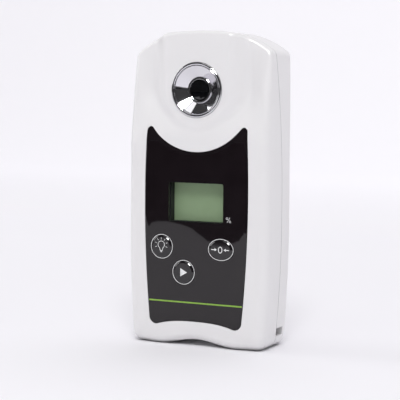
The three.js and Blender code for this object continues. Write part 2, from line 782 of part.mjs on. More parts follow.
rearCover = rearCover.subtract(box(slotInner, caseWidth, slotFront, backY - slotPost, slotFoot, slotHead));
rearCover = rearCover.subtract(box(slotInner, slotInner + slotPassWidth, slotFront, backY + overrun, slotFoot, slotHead));
const bay = box(
  -bayHalfWidth,
  bayHalfWidth,
  batteryY - batteryRadius - fit,
  backY + overrun,
  bayFoot,
  bayHead,
);
const coverOpening = roundedRectangle(coverHalfWidth + fit, coverFoot - fit, coverHead + fit, coverCornerRadius + fit);
rearCover = rearCover.subtract(bay).subtract(pushed(coverOpening, ledgeY, backY + overrun));

function coverSealShape(growth) {
  const out = coverSealMargin + fit + growth;
  return roundedRectangle(bayHalfWidth + out, bayFoot - out, bayHead + out, coverCornerRadius / 2 + Math.max(growth, 0));
}

function coverSealRing(growth, front, back) {
  const outer = pushed(coverSealShape(coverSealWidth + growth), front, back);
  return outer.subtract(pushed(coverSealShape(-growth), front - overrun, back + overrun));
}

const coverSealBack = ledgeY;
const coverSealFront = coverSealBack - coverSealThickness;
rearCover = rearCover.subtract(coverSealRing(fit, coverSealFront - fit, ledgeY + overrun));
coverScrewPlaces.forEach((z) => {
  const hole = rod(coverScrewRadius + fit, coverScrewTip - fit, backY, smallSides);
  rearCover = rearCover.subtract(hole.translate([0, 0, z]));
});
caseScrewPlaces.forEach(([x, z]) => {
  const hole = rod(caseScrewRadius + fit, caseScrewTip, backY, smallSides);
  const sink = rod(caseScrewHeadRadius + fit, caseScrewSeat - fit, backY + overrun, smallSides);
  rearCover = rearCover.subtract(hole.add(sink).translate([x, 0, z]));
});

function caseSealRing(growth, front, back) {
  const outer = caseOutline(sealInset - growth);
  const inner = caseOutline(sealInset + sealWidth + growth);
  const frontFace = (x, z) => partingY(z) + front;
  const backFace = (x, z) => partingY(z) + back;
  const ring = slab(outer, plainAcross, plainUp, frontFace, backFace);
  const core = slab(inner, plainAcross, plainUp, (x, z) => frontFace(x, z) - overrun, (x, z) => backFace(x, z) + overrun);
  return ring.subtract(core);
}

rearCover = rearCover.subtract(caseSealRing(fit, -overrun, fit + sealThickness + fit));
addPart(refractometer, 'rear_cover', rearCover, whiteShell);
addPart(refractometer, 'case_seal', caseSealRing(0, fit, fit + sealThickness), rubber);

caseScrewPlaces.forEach(([x, z], i) => {
  addPart(refractometer, `case_screw_${i + 1}`, caseScrew, zincSteel).position.set(x, caseScrewSeat, z);
});

// Sample well, with the prism, its seals and the optics block behind it. Places here count from the well's axis.

const wellGroup = addGroup(0, 0, wellZ);
const lipRadius = prismWindowRadius + prismLedge;
const well = turned([
  [prismWindowRadius, lipBack],
  [prismWindowRadius, lipBack - lipThickness],
  [lipRadius, lipBack - lipThickness - rimEdge],
  [rimRadius - rimBand, frontY - trimRise + rimEdge],
  [rimRadius - rimBand + rimEdge, frontY - trimRise],
  [rimRadius - rimEdge, frontY - trimRise],
  [rimRadius, frontY - trimRise + rimEdge],
  [rimRadius, flangeBack],
  [wellBarrelRadius, flangeBack],
  [wellBarrelRadius, wellSeatBack],
  [prismCollarRadius + fit, wellSeatBack],
  [prismCollarRadius + fit, lipBack],
  [prismWindowRadius, lipBack],
], wellSides);
addPart(wellGroup, 'sample_well', well, polishedSteel);
const wellSealOuter = rimRadius - fit;
addPart(wellGroup, 'well_seal', tube(wellSealOuter, wellBarrelRadius + fit, flangeBack + fit, seatFloor - fit), rubber);

const prismNeck = prismWindowRadius - fit;
const prismShape = new THREE.Shape();
prismShape.moveTo(collarBack - fit, -prismHalfHeight);
prismShape.lineTo(collarBack, -prismHalfHeight);
prismShape.lineTo(collarBack + prismRunDepth, prismRunDepth - prismHalfHeight);
prismShape.lineTo(collarBack + prismRunDepth, prismHalfHeight - prismRunDepth);
prismShape.lineTo(collarBack, prismHalfHeight);
prismShape.lineTo(collarBack - fit, prismHalfHeight);
const prism = joined(
  turned([
    [0, lipBack - lipThickness],
    [prismNeck, lipBack - lipThickness],
    [prismNeck, collarFront],
    [prismCollarRadius, collarFront],
    [prismCollarRadius, collarBack],
    [0, collarBack],
  ]),
  pushedAcross(prismShape, prismHalfWidth),
);
addPart(wellGroup, 'prism', prism, opticalGlass);
const prismSealRing = tube(prismCollarRadius, prismWindowRadius, prismSealFront, collarFront - fit);
addPart(wellGroup, 'prism_seal', prismSealRing, rubber);

// The light comes up through the lower sloping face of the prism and leaves by the upper one. Each beam's
// frame starts at the middle of its face, and its -Y looks back along the beam.
const beamStart = [collarBack + prismRunDepth / 2, prismHalfHeight - prismRunDepth / 2];

function alongBeam(solid, side) {
  const turn = side * 45;
  return solid.rotate([turn, 0, 0]).translate([0, beamStart[0], side * beamStart[1]]);
}

function opticsCheek(left, right) {
  const reach = beamToBoard - opticsBoardThickness / 2 - fit;
  const cut = Math.SQRT1_2 * reach;
  const rise = beamStart[1] + cut + Math.SQRT1_2 * lightBoardHalfLength;
  const deep = beamStart[0] + cut - Math.SQRT1_2 * lightBoardHalfLength;
  const shape = new THREE.Shape();
  shape.moveTo(holderBack - fit, -rise);
  shape.lineTo(deep, -rise);
  shape.lineTo(deep + Math.SQRT2 * lightBoardHalfLength, Math.SQRT2 * lightBoardHalfLength - rise);
  shape.lineTo(deep + Math.SQRT2 * lightBoardHalfLength, rise - Math.SQRT2 * lightBoardHalfLength);
  shape.lineTo(deep, rise);
  shape.lineTo(holderBack - fit, rise);
  return pushedAcross(shape, (right - left) / 2).translate([(left + right) / 2, 0, 0]);
}

const lensPocket = lensRadius + fit;
const lensBar = alongBeam(box(
  -cheekInner - fit,
  cheekInner + fit,
  beamToLens - lensBarThickness / 2,
  beamToLens + lensBarThickness / 2,
  -lensBarHalfHeight,
  lensBarHalfHeight,
), -1);
const lensBore = alongBeam(rod(lensPocket, beamToLens - overrun, beamToLens + overrun, smallSides), -1);
let holder = joined(
  box(-holderHalfWidth, holderHalfWidth, holderFront, holderBack, -holderHalfHeight, holderHalfHeight),
  opticsCheek(-cheekInner - cheekThickness, -cheekInner),
  opticsCheek(cheekInner, cheekInner + cheekThickness),
  lensBar,
);
const prismRoom = new THREE.Shape();
const roomHigh = prismHalfHeight + fit;
prismRoom.moveTo(holderFront - overrun, -roomHigh);
prismRoom.lineTo(collarBack + fit / 2, -roomHigh);
prismRoom.lineTo(collarBack + roomHigh + fit / 2, 0);
prismRoom.lineTo(collarBack + fit / 2, roomHigh);
prismRoom.lineTo(holderFront - overrun, roomHigh);
holder = holder.subtract(pushedAcross(prismRoom, cheekInner));
holder = holder.subtract(rod(prismCollarRadius + fit, holderFront - overrun, collarBack + fit)).subtract(lensBore);
[-1, 1].forEach((side) => {
  const hole = rod(smallScrewRadius + fit, holderFront - overrun, holderBack + overrun, smallSides);
  holder = holder.subtract(hole.translate([side * holderScrewX, 0, 0]));
});
addPart(wellGroup, 'prism_holder', holder, darkPlastic);
[['left', -1], ['right', 1]].forEach(([side, sign]) => {
  addPart(wellGroup, `holder_screw_${side}`, holderScrew, zincSteel).position.set(sign * holderScrewX, holderBack + fit, 0);
});

function opticsBoard(name, side) {
  const plate = box(
    -lightBoardHalfWidth,
    lightBoardHalfWidth,
    beamToBoard - opticsBoardThickness / 2,
    beamToBoard + opticsBoardThickness / 2,
    -lightBoardHalfLength,
    lightBoardHalfLength,
  );
  addPart(wellGroup, name, alongBeam(plate, side), boardGreen);
}

opticsBoard('light_source_board', -1);
opticsBoard('sensor_board', 1);
const chipBack = beamToBoard - opticsBoardThickness / 2 - fit;
const ledShares = [[0, 1], [0.7, 0.85], [1, 0.5], [1, 0], [0, 0]];
const led = turned(ledShares.map(([out, rise]) => [ledRadius * out, chipBack - ledHeight * rise]), smallSides);
addPart(wellGroup, 'light_source_led', alongBeam(led, -1), ledEpoxy);
const lensShares = [[0, -0.5], [0.6, -0.35], [1, 0.2], [1, 0.5], [0, 0.5]];
const lens = turned(lensShares.map(([out, rise]) => [lensRadius * out, beamToLens + lensThickness * rise]), smallSides);
addPart(wellGroup, 'condenser_lens', alongBeam(lens, -1), clearSheet);
const sensorChip = box(
  -sensorHalfWidth,
  sensorHalfWidth,
  chipBack - sensorThickness,
  chipBack,
  -sensorHalfHeight,
  sensorHalfHeight,
);
addPart(wellGroup, 'line_sensor', alongBeam(sensorChip, 1), darkPlastic);

// The ribbon runs behind the optics block, from the back of the sensor board down to the main board.
const sensorBack = beamToBoard + opticsBoardThickness / 2 + 2 * fit + ribbonThickness / 2;
const ribbonTop = [beamStart[0] + Math.SQRT1_2 * sensorBack, beamStart[1] + Math.SQRT1_2 * sensorBack];
const ribbonFoot = [boardBack + fit + ribbonThickness / 2, boardHead - wellZ];
const ribbonClear = ribbonTop[0] + lightBoardHalfLength;
const [ribbonTurnShare, ribbonBendShare, ribbonDipShare] = [1.6, 0.33, 0.2];
const ribbonPath = new THREE.SplineCurve([
  new THREE.Vector2(ribbonTop[0], ribbonTop[1]),
  new THREE.Vector2(ribbonTop[0] + lightBoardHalfLength / 2, ribbonTop[1] - lightBoardHalfLength / 2),
  new THREE.Vector2(ribbonClear, ribbonTop[1] - lightBoardHalfLength * ribbonTurnShare),
  new THREE.Vector2(ribbonClear, -ribbonTop[1] + lightBoardHalfLength),
  new THREE.Vector2(ribbonClear - lightBoardHalfLength * ribbonBendShare, ribbonFoot[1] + lightBoardHalfLength / 2),
  new THREE.Vector2(ribbonFoot[0] + lightBoardHalfLength / 2, ribbonFoot[1] - lightBoardHalfLength * ribbonDipShare),
  new THREE.Vector2(ribbonFoot[0], ribbonFoot[1] - lightBoardHalfLength),
]);
const ribbonEdge = [1, -1].map((side) => {
  const points = ribbonPath.getPoints(ribbonSteps).map((point, i) => {
    const tangent = ribbonPath.getTangent(i / ribbonSteps);
    const offset = side * ribbonThickness / 2;
    return new THREE.Vector2(point.x - offset * tangent.y, point.y + offset * tangent.x);
  });
  return side > 0 ? points : points.reverse();
});
addPart(wellGroup, 'sensor_ribbon', pushedAcross(new THREE.Shape(ribbonEdge.flat()), ribbonHalfWidth), amberFilm);

// Display behind its window

const displayGroup = addGroup(0, 0, windowZ);
const glassFront = frontY + glassRecess;
const glassBack = glassFront + glassThickness;
const glassHalfWidth = windowHalfWidth + glassMargin;
const glassHalfHeight = windowHalfHeight + glassMargin;
const tunnelFront = frontY + panelBack;
const frameHalfWidth = glassHalfWidth + fit + frameWall;
const frameFront = frontY + faceWall + fit;
const frameBack = boardFront - fit;
const sightHalfWidth = tunnelOuterWidth - tunnelWall;
const sightHalfHeight = tunnelOuterHeight - tunnelWall;
const frame = joined(
  box(-tunnelOuterWidth, tunnelOuterWidth, tunnelFront, glassFront - fit, -tunnelOuterHeight, tunnelOuterHeight),
  box(-frameHalfWidth, frameHalfWidth, frameFront, frameBack, -frameHalfHeight, frameHalfHeight),
).subtract(
  box(-sightHalfWidth, sightHalfWidth, tunnelFront - overrun, glassFront, -sightHalfHeight, sightHalfHeight),
).subtract(
  box(
    -glassHalfWidth - fit,
    glassHalfWidth + fit,
    glassFront - fit,
    frameBack + overrun,
    -glassHalfHeight - fit,
    glassHalfHeight + fit,
  ),
);
addPart(displayGroup, 'lcd_frame', frame, darkPlastic);
const glass = box(-glassHalfWidth, glassHalfWidth, glassFront, glassBack, -glassHalfHeight, glassHalfHeight);
addPart(displayGroup, 'lcd_glass', glass, displayGreen);
[['lower', -1], ['upper', 1]].forEach(([place, sign]) => {
  const middle = sign * (glassHalfHeight - stripHeight / 2);
  const halfWidth = glassHalfWidth - stripEndGap;
  const strip = box(-halfWidth, halfWidth, glassBack + fit, frameBack, middle - stripHeight / 2, middle + stripHeight / 2);
  addPart(displayGroup, `lcd_contact_strip_${place}`, strip, rubber);
});
const backlightHalfHeight = glassHalfHeight - stripHeight - fit;
const backlightHalfWidth = glassHalfWidth - backlightMargin;
addPart(displayGroup, 'lcd_backlight', box(
  -backlightHalfWidth,
  backlightHalfWidth,
  glassBack + fit,
  frameBack,
  -backlightHalfHeight,
  backlightHalfHeight,
), clearSheet);

// Main board

let board = box(-boardHalfWidth, boardHalfWidth, boardFront, boardBack, boardFoot, boardHead);
boardScrewPlaces.forEach(([x, z]) => {
  const hole = rod(smallScrewRadius + fit, boardFront - overrun, boardFront + overrun, smallSides);
  board = board.subtract(hole.translate([x, 0, z]));
});
addPart(refractometer, 'main_board', board, boardGreen);
boardScrewPlaces.forEach(([x, z], i) => {
  addPart(refractometer, `board_screw_${i + 1}`, boardScrew, zincSteel).position.set(x, boardBack + fit, z);
});
addPart(refractometer, 'processor_chip', box(
  chipX - chipHalfWidth,
  chipX + chipHalfWidth,
  boardBack + fit,
  boardBack + fit + chipThickness,
  windowZ - chipHalfWidth,
  windowZ + chipHalfWidth,
), darkPlastic);

// Keys, each with the switch that it presses. The dome of a key stands out of the panel.

const flangeFront = frontY + faceWall + fit;
const flangeRear = flangeFront + keyFlangeThickness;
const switchFront = frontY + switchDepth;
const plungerBack = switchFront + plungerDip;
const domeShares = [[0.97, 0.24], [0.85, 0.58], [0.6, 0.85], [0.3, 0.97]];

keys.forEach((key) => {
  const keyGroup = addGroup(key.x, 0, key.z);
  const dome = domeShares.map(([share, rise]) => [share, frontY - trimRise * rise]);
  const cap = joined(
    keySolid(key, 0, [[0, frontY - trimRise], ...dome.reverse(), [1, frontY], [1, flangeRear], [0, flangeRear]]),
    keySolid(key, keyFlange, [[0, flangeFront], [1, flangeFront], [1, flangeRear], [0, flangeRear]]),
  );
  addPart(keyGroup, `${key.name}_button`, cap, blackGloss);
  addPart(keyGroup, `${key.name}_switch_plunger`, rod(plungerRadius, flangeRear + fit, plungerBack, smallSides), darkPlastic);
  const housing = box(-switchHalfWidth, switchHalfWidth, switchFront, boardFront - fit, -switchHalfWidth, switchHalfWidth);
  const well = rod(plungerRadius + fit, switchFront - overrun, boardFront - fit - switchFloor, smallSides);
  addPart(keyGroup, `${key.name}_switch`, housing.subtract(well), darkPlastic);
});

// Battery, contacts and battery cover

const crimpShare = 0.1;
const crimp = batteryRadius * crimpShare;
const cell = turned([
  [0, 0],
  [batteryRadius - crimp, 0],
  [batteryRadius, crimp],
  [batteryRadius, batteryLength - crimp],
  [batteryRadius - crimp, batteryLength],
  [batteryNubRadius, batteryLength],
  [batteryNubRadius, batteryLength + batteryNubLength],
  [0, batteryLength + batteryNubLength],
]);
const batteryGroup = addGroup(0, batteryY, cellFoot);
const standing = new THREE.Euler(Math.PI / 2, 0, 0);
addPart(batteryGroup, 'battery', cell, cellSleeve).rotation.copy(standing);

const springTopShare = 0.7;

class SpringCurve extends THREE.Curve {
  getPoint(t, target = new THREE.Vector3()) {
    const angle = 2 * Math.PI * springTurns * t;
    const radius = THREE.MathUtils.lerp(springRadius, springRadius * springTopShare, t);
    const rise = springWire + (springSpace - fit - 2 * springWire) * t;
    return target.set(radius * Math.cos(angle), radius * Math.sin(angle), rise);
  }
}

const wire = new THREE.Shape();
wire.absarc(0, 0, springWire, 0, 2 * Math.PI);
const springGeometry = new THREE.ExtrudeGeometry(wire, {
  steps: springSteps * springTurns,
  curveSegments: wireSides,
  extrudePath: new SpringCurve(),
});
addPart(batteryGroup, 'battery_spring', toSolid(springGeometry), zincSteel).position.z = -springSpace;
const contactFoot = batteryLength + batteryNubLength + fit;
addPart(batteryGroup, 'battery_contact', box(
  -contactHalfWidth,
  contactHalfWidth,
  -contactHalfWidth,
  contactHalfWidth,
  contactFoot,
  contactFoot + contactThickness,
), zincSteel);

const coverShape = roundedRectangle(coverHalfWidth, coverFoot, coverHead, coverCornerRadius);
let batteryCover = pushed(coverShape, ledgeY + fit, backY);
coverScrewPlaces.forEach((z) => {
  const hole = rod(coverScrewRadius + fit, ledgeY - overrun, backY + overrun, smallSides);
  const sink = rod(coverScrewHeadRadius + fit, backY - coverScrewHeadThickness - fit, backY + overrun, smallSides);
  batteryCover = batteryCover.subtract(hole.add(sink).translate([0, 0, z]));
});
addPart(refractometer, 'battery_cover', batteryCover, whiteShell);
addPart(refractometer, 'battery_cover_seal', coverSealRing(0, coverSealFront, coverSealBack), rubber);
[['lower', coverScrewPlaces[0]], ['upper', coverScrewPlaces[1]]].forEach(([place, z]) => {
  const piece = addPart(refractometer, `battery_cover_screw_${place}`, coverScrew, zincSteel);
  piece.position.set(0, backY - coverScrewHeadThickness, z);
});

export default refractometer;
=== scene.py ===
"""Looks of a hand-held digital honey refractometer, around its fixed frame of solids.

Sizes are millimetres here and become metres where a mesh is made. The face looks towards -Y.
"""
import json
import math

import bpy
import numpy as np
from mathutils import Matrix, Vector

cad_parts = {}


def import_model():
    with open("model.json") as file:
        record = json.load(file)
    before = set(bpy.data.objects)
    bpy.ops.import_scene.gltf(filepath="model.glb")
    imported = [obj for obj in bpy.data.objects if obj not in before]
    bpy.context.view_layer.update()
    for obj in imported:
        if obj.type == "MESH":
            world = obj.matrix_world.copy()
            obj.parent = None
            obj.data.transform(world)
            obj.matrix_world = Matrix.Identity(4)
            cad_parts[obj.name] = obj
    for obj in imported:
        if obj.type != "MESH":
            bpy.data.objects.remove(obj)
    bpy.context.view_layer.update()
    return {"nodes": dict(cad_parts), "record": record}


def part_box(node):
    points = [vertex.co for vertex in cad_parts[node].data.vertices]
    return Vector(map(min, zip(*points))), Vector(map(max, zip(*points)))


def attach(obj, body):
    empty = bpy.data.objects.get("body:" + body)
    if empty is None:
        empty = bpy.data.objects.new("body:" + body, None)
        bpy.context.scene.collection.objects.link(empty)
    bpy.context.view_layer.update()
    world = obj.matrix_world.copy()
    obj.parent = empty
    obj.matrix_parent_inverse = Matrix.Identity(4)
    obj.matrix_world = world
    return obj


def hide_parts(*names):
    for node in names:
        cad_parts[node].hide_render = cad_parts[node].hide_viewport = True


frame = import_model()
nodes = frame["nodes"]

MM = 0.001


def node_box(node):
    """Lowest and highest corner of a frame node, in millimetres."""
    return [np.array(corner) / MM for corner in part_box(node)]


def node_middle(node):
    low, high = node_box(node)
    return (low + high) / 2


# Sizes of the case, as its solids have them

CASE_LOW, CASE_HIGH = node_box("front_cover")
HEIGHT = CASE_HIGH[2]
HALF_WIDTH = CASE_HIGH[0]
FRONT_Y = CASE_LOW[1]
BACK_Y = node_box("rear_cover")[1][1]
WELL_LOW, WELL_HIGH = node_box("sample_well")
WELL_Z = (WELL_LOW[2] + WELL_HIGH[2]) / 2
RIM_RADIUS = (WELL_HIGH[0] - WELL_LOW[0]) / 2
TRIM_RISE = FRONT_Y - WELL_LOW[1]
FIT = 0.3
SIDE_WALL = 2.2
FACE_WALL = 3.0
BACK_WALL = 2.2
OVERRUN = 3.0

WIDEST_Z = HEIGHT * 0.38
FOOT_DRAW_IN = 2.0
HEAD_DRAW_IN = 1.63
FOOT_ARCH_RISE = 2.4
FOOT_ARCH_HALF_SPAN = 16.8
CROWN_RADIUS = 130.0
SHOULDER_BREAK = 11.0
SHOULDER_RADIUS = 32.7
FOOT_CORNER, LEAST_FOOT_CORNER = 4.0, 1.0
HEAD_CORNER, LEAST_HEAD_CORNER = 3.5, 0.9
FACE_EDGE = 3.0
FACE_SIDE_EDGE = 4.6
FACE_TOP_EDGE = 1.6
SIDE_EDGE_BLEND = (16.0, 10.0)
BACK_EDGE = 4.5
BACK_TOP_EDGE = 2.0

HOOD_HEIGHT = 5.0
HOOD_RIDGE = 14.2
HOOD_FOOT_BLEND = 2.0
HOOD_RIDGE_SOFTNESS = 1.5
SHOULDER_START_Z = HEIGHT * 0.66
SHOULDER_RAMP = 20.0
EDGE_SLOPE = 0.145
EDGE_START_Z = HEIGHT * 0.645
SHOULDER_BLEND = (20.0, 7.0)

PARTING_MIDDLE = 1.2
PARTING_FOOT_SINK = 0.9
PARTING_HEAD_SINK = 6.0
PARTING_HEAD_Z = HEIGHT * 0.5

PANEL_HALF_WIDTH = 21.8
PANEL_BOW = 480.0
PANEL_WIDEST_Z = HEIGHT * 0.47
PANEL_FOOT = 9.72
PANEL_FOOT_ARCH = 2.35
PANEL_FOOT_SPAN = 17.5
PANEL_FOOT_POWER = 2.7
PANEL_HEAD_RADIUS = 23.7
PANEL_FOOT_CORNER = 2.75
PANEL_TIP = 1.35
PANEL_THICKNESS = 1.2
PANEL_FIT = FIT / 2
PANEL_EDGE = 0.15

WINDOW_CORNER = 0.8

# Camera, fitted to edges of the instrument in the photograph

CAMERA_PLACE = (220.22, -460.02, 94.46)
CAMERA_FORWARD = (-0.4369, 0.8963, -0.0756)
CAMERA_UP = (-0.0412, 0.0641, 0.9971)
LENS = 118.02
SENSOR = 36.0


def frame_matrix(right, up, back, place):
    """The matrix of a thing with these axes at this place."""
    return Matrix([[right[i], up[i], back[i], place[i]] for i in range(3)] + [[0, 0, 0, 1]])


def add_camera():
    forward = np.array(CAMERA_FORWARD) / np.linalg.norm(CAMERA_FORWARD)
    right = np.cross(forward, CAMERA_UP)
    right /= np.linalg.norm(right)
    up = np.cross(right, forward)
    data = bpy.data.cameras.new("camera")
    data.lens = LENS
    data.sensor_width = SENSOR
    data.clip_start = 0.01
    camera = bpy.data.objects.new("camera", data)
    place = np.array(CAMERA_PLACE) * MM
    camera.matrix_world = frame_matrix(right, up, -forward, place)
    bpy.context.scene.collection.objects.link(camera)
    bpy.context.scene.camera = camera


# Materials

def srgb(code):
    """A hex colour as linear values, opaque."""
    parts = [int(code[i:i + 2], 16) / 255 for i in (1, 3, 5)]
    linear = [p / 12.92 if p <= 0.04045 else ((p + 0.055) / 1.055) ** 2.4 for p in parts]
    return (*linear, 1.0)


def add(tree, kind, settings=None, **inputs):
    """Adds one node. Settings are its own fields; an input is a value or another node's socket.

    An input goes by its label, with _ for a space, or by i and its number.
    """
    node = tree.nodes.new(kind)
    for field, value in (settings or {}).items():
        setattr(node, field, value)
    for name, value in inputs.items():
        numbered = name[0] == "i" and name[1:].isdigit()
        socket = node.inputs[int(name[1:]) if numbered else name.replace("_", " ")]
        if isinstance(value, bpy.types.NodeSocket):
            tree.links.new(value, socket)
        else:
            socket.default_value = value
    return node


def reckon(tree, operation, *values, kind="ShaderNodeMath"):
    """The result of a Math node, or of a Vector Math one."""
    inputs = {f"i{index}": value for index, value in enumerate(values)}
    return add(tree, kind, {"operation": operation}, **inputs).outputs[0]


def new_material(name, color, roughness, **more):
    """A Principled surface. Returns the material, its tree, its shader and its object's own coordinates."""
    material = bpy.data.materials.new(name)
    material.use_nodes = True
    tree = material.node_tree
    shader = tree.nodes["Principled BSDF"]
    shader.inputs["Base Color"].default_value = srgb(color)
    shader.inputs["Roughness"].default_value = roughness
    for key, value in more.items():
        shader.inputs[key.replace("_", " ")].default_value = value
    return material, tree, shader, add(tree, "ShaderNodeTexCoord").outputs["Object"]


def noise(tree, place, size_mm, detail, roughness=0.5):
    """Noise whose grains are size_mm across."""
    return add(
        tree, "ShaderNodeTexNoise", Vector=place, Scale=1 / (size_mm * MM), Detail=detail,
        Roughness=roughness).outputs["Fac"]


def grain(tree, shader, place, size_mm, height_mm, strength, detail=2.0):
    """A fine all-over relief."""
    height = noise(tree, place, size_mm, detail, 0.55)
    bump = add(tree, "ShaderNodeBump", Height=height, Distance=height_mm * MM, Strength=strength)
    tree.links.new(bump.outputs["Normal"], shader.inputs["Normal"])


def tint(tree, shader, place, dark, light, size_mm, low=0.35, high=0.65):
    """Slow changes between two near colours."""
    ramp = add(tree, "ShaderNodeValToRGB", Fac=noise(tree, place, size_mm, 3.0))
    for element, position, color in zip(ramp.color_ramp.elements, (low, high), (dark, light)):
        element.position = position
        element.color = srgb(color)
    tree.links.new(ramp.outputs["Color"], shader.inputs["Base Color"])


def uneven_gloss(tree, shader, place, low, high, size_mm):
    """Roughness that wanders between two values, as handling leaves it."""
    spread = add(tree, "ShaderNodeMapRange", Value=noise(tree, place, size_mm, 4.0), To_Min=low, To_Max=high)
    tree.links.new(spread.outputs["Result"], shader.inputs["Roughness"])


def painted_recess_shade(tree, shader, reach_mm, left):
    """Paints shade into the colour in narrow slots and grooves, darker where they are more closed in; left is
    what remains of the colour there.
    """
    color = shader.inputs["Base Color"].links[0].from_socket
    open_share = add(tree, "ShaderNodeAmbientOcclusion", {"samples": 8}, Distance=reach_mm * MM).outputs["AO"]
    keep = add(tree, "ShaderNodeMapRange", Value=open_share, From_Min=0.1, From_Max=0.6, To_Min=left)
    mix = add(tree, "ShaderNodeVectorMath", {"operation": "SCALE"}, i0=color, Scale=keep.outputs["Result"])
    tree.links.new(mix.outputs[0], shader.inputs["Base Color"])


def surface(name, color, roughness, relief, tints=None, gloss=None, recess_shade=None, **more):
    """A surface with the patterns above. Each is given by the values that its function takes last."""
    material, tree, shader, place = new_material(name, color, roughness, **more)
    for pattern, values in ((grain, relief), (tint, tints), (uneven_gloss, gloss)):
        if values:
            pattern(tree, shader, place, *values)
    # Painted shade in slots and grooves, from how closed in they are
    if recess_shade:
        painted_recess_shade(tree, shader, *recess_shade)
    return material


LATHE_PITCH = 0.12


def polished_stainless(name):
    """Stainless steel turned and polished: a mirror with the faintest rings from the lathe."""
    material, tree, shader, place = new_material(name, "#dddce0", 0.07, Metallic=1.0)
    centred = reckon(tree, "SUBTRACT", place, (0.0, 0.0, WELL_Z * MM), kind="ShaderNodeVectorMath")
    flat = reckon(tree, "MULTIPLY", centred, (1.0, 0.0, 1.0), kind="ShaderNodeVectorMath")
    radius = add(tree, "ShaderNodeVectorMath", {"operation": "LENGTH"}, i0=flat).outputs["Value"]
    wave = reckon(tree, "SINE", reckon(tree, "MULTIPLY", radius, 2 * math.pi / (LATHE_PITCH * MM)))
    bump = add(tree, "ShaderNodeBump", Height=wave, Distance=0.0004 * MM, Strength=0.25)
    tree.links.new(bump.outputs["Normal"], shader.inputs["Normal"])
    uneven_gloss(tree, shader, place, 0.05, 0.10, 2.5)
    return material


def circuit_board(name):
    """Glass-epoxy board under green solder mask, with the weave just showing at 0.5 mm."""
    material, tree, shader, place = new_material(name, "#1d5a39", 0.4)
    weave = add(tree, "ShaderNodeTexChecker", Vector=place, Scale=1 / (0.5 * MM))
    weave.inputs["Color1"].default_value = srgb("#1b5435")
    weave.inputs["Color2"].default_value = srgb("#20603d")
    tree.links.new(weave.outputs["Color"], shader.inputs["Base Color"])
    uneven_gloss(tree, shader, place, 0.32, 0.5, 3.0)
    return material


RUBBER_RELIEF, RUBBER_TINTS = (0.2, 0.015, 0.4), ("#131314", "#1d1d1e", 2.0)
# The second pair paints shade into the recesses of small steel parts: its reach in millimetres and what
# remains of the colour there
STEEL_RELIEF, STEEL_RECESS_SHADE = (0.25, 0.006, 0.3), (1.6, 0.12)
DARK_RELIEF = (0.3, 0.02, 0.4)
CLEAR_RELIEF = (18.0, 0.02, 0.08)
CAST_RELIEF = (0.8, 0.01, 0.2)
INK_RELIEF = (0.12, 0.006, 0.3)

finishes = {
    # ABS, injection moulded in a spark-eroded tool: a white satin skin with a very fine grain, and painted
    # shade in its slots and grooves
    "case_plastic": surface(
        "moulded_white_abs", "#e5e4e5", 0.4, (0.35, 0.02, 0.35), ("#e3e2e3", "#e5e4e5", 30.0, 0.2, 0.8),
        (0.3, 0.32, 25.0), (3.0, 0.35), IOR=1.54),
    # Cast acrylic printed black on its back: deep gloss with a faint waviness and dust-fine marks
    "panel_acrylic": surface(
        "back_printed_black_acrylic", "#161214", 0.02, (22.0, 0.03, 0.06, 1.0), ("#151013", "#191417", 9.0),
        (0.012, 0.03, 3.0), IOR=1.49),
    # A clear window, seen as a faint film of gloss
    "window_acrylic": surface(
        "clear_acrylic_window", "#1c201e", 0.03, CLEAR_RELIEF, IOR=1.49, Alpha=0.08),
    # Moulded polycarbonate with a hard gloss coat
    "key_dome": surface(
        "gloss_coated_key", "#161316", 0.06, (1.6, 0.005, 0.1), None, (0.04, 0.08, 2.0), IOR=1.58),
    "well_steel": polished_stainless("polished_stainless_steel"),
    # Dense optical glass over a dark chamber: nearly black, with a sharp reflection
    "prism_glass": surface(
        "dense_optical_glass", "#050607", 0.02, (6.0, 0.001, 0.05), ("#040506", "#08090c", 2.0), IOR=1.72),
    "lens_glass": surface("moulded_lens", "#1c201e", 0.03, CLEAR_RELIEF, IOR=1.49, Alpha=0.4),
    # Twisted-nematic display glass over a grey-green reflector, with its very fine cell texture
    "display_glass": surface(
        "grey_green_display_glass", "#9db88f", 0.28, (0.25, 0.004, 0.2), ("#9bb58d", "#a0ba92", 7.0),
        IOR=1.5),
    "light_guide": surface("frosted_light_guide", "#dde3d6", 0.4, CAST_RELIEF, ("#cfd6c8", "#dde3d6", 1.5)),
    # Glass-filled black plastic with a dry moulded skin
    "black_plastic": surface(
        "moulded_black_plastic", "#26272b", 0.55, DARK_RELIEF, ("#1b1c1f", "#26272b", 4.0), IOR=1.5),
    # Silicone rubber, dull and slightly dusty
    "seal_rubber": surface("black_silicone_rubber", "#161617", 0.8, RUBBER_RELIEF, RUBBER_TINTS, IOR=1.41),
    "contact_rubber": surface(
        "layered_contact_rubber", "#161617", 0.8, RUBBER_RELIEF, RUBBER_TINTS, IOR=1.41),
    "circuit_board": circuit_board("green_solder_mask"),
    "ribbon_film": surface("amber_polyimide_film", "#c07a2e", 0.3, CAST_RELIEF, ("#b06a22", "#c07a2e", 1.5)),
    "led_epoxy": surface(
        "cast_led_epoxy", "#f2dfae", 0.12, CAST_RELIEF, ("#ead49a", "#f2dfae", 1.5), IOR=1.53),
    # Small steel parts, barrel finished, with painted shade in their recesses
    "contact_metal": surface(
        "nickelled_spring_steel", "#b5b6b4", 0.3, STEEL_RELIEF, ("#b5b6b4", "#b4b6b9", 3.0), (0.2, 0.34, 0.8),
        STEEL_RECESS_SHADE, Metallic=1.0),
    # Shrink sleeve of a dry cell, plain steel blue with a soft sheen
    "battery_sleeve": surface(
        "steel_blue_sleeve", "#3a4a5c", 0.28, (2.5, 0.02, 0.15), ("#36465a", "#415368", 6.0), Metallic=0.35),
    # Screw steel, with painted shade in its cross recesses
    "screw_steel": surface(
        "stainless_screw_steel", "#a3a5a8", 0.3, STEEL_RELIEF, ("#a3a5a8", "#b4b6b9", 3.0), (0.25, 0.42, 0.8),
        STEEL_RECESS_SHADE, Metallic=1.0),
}
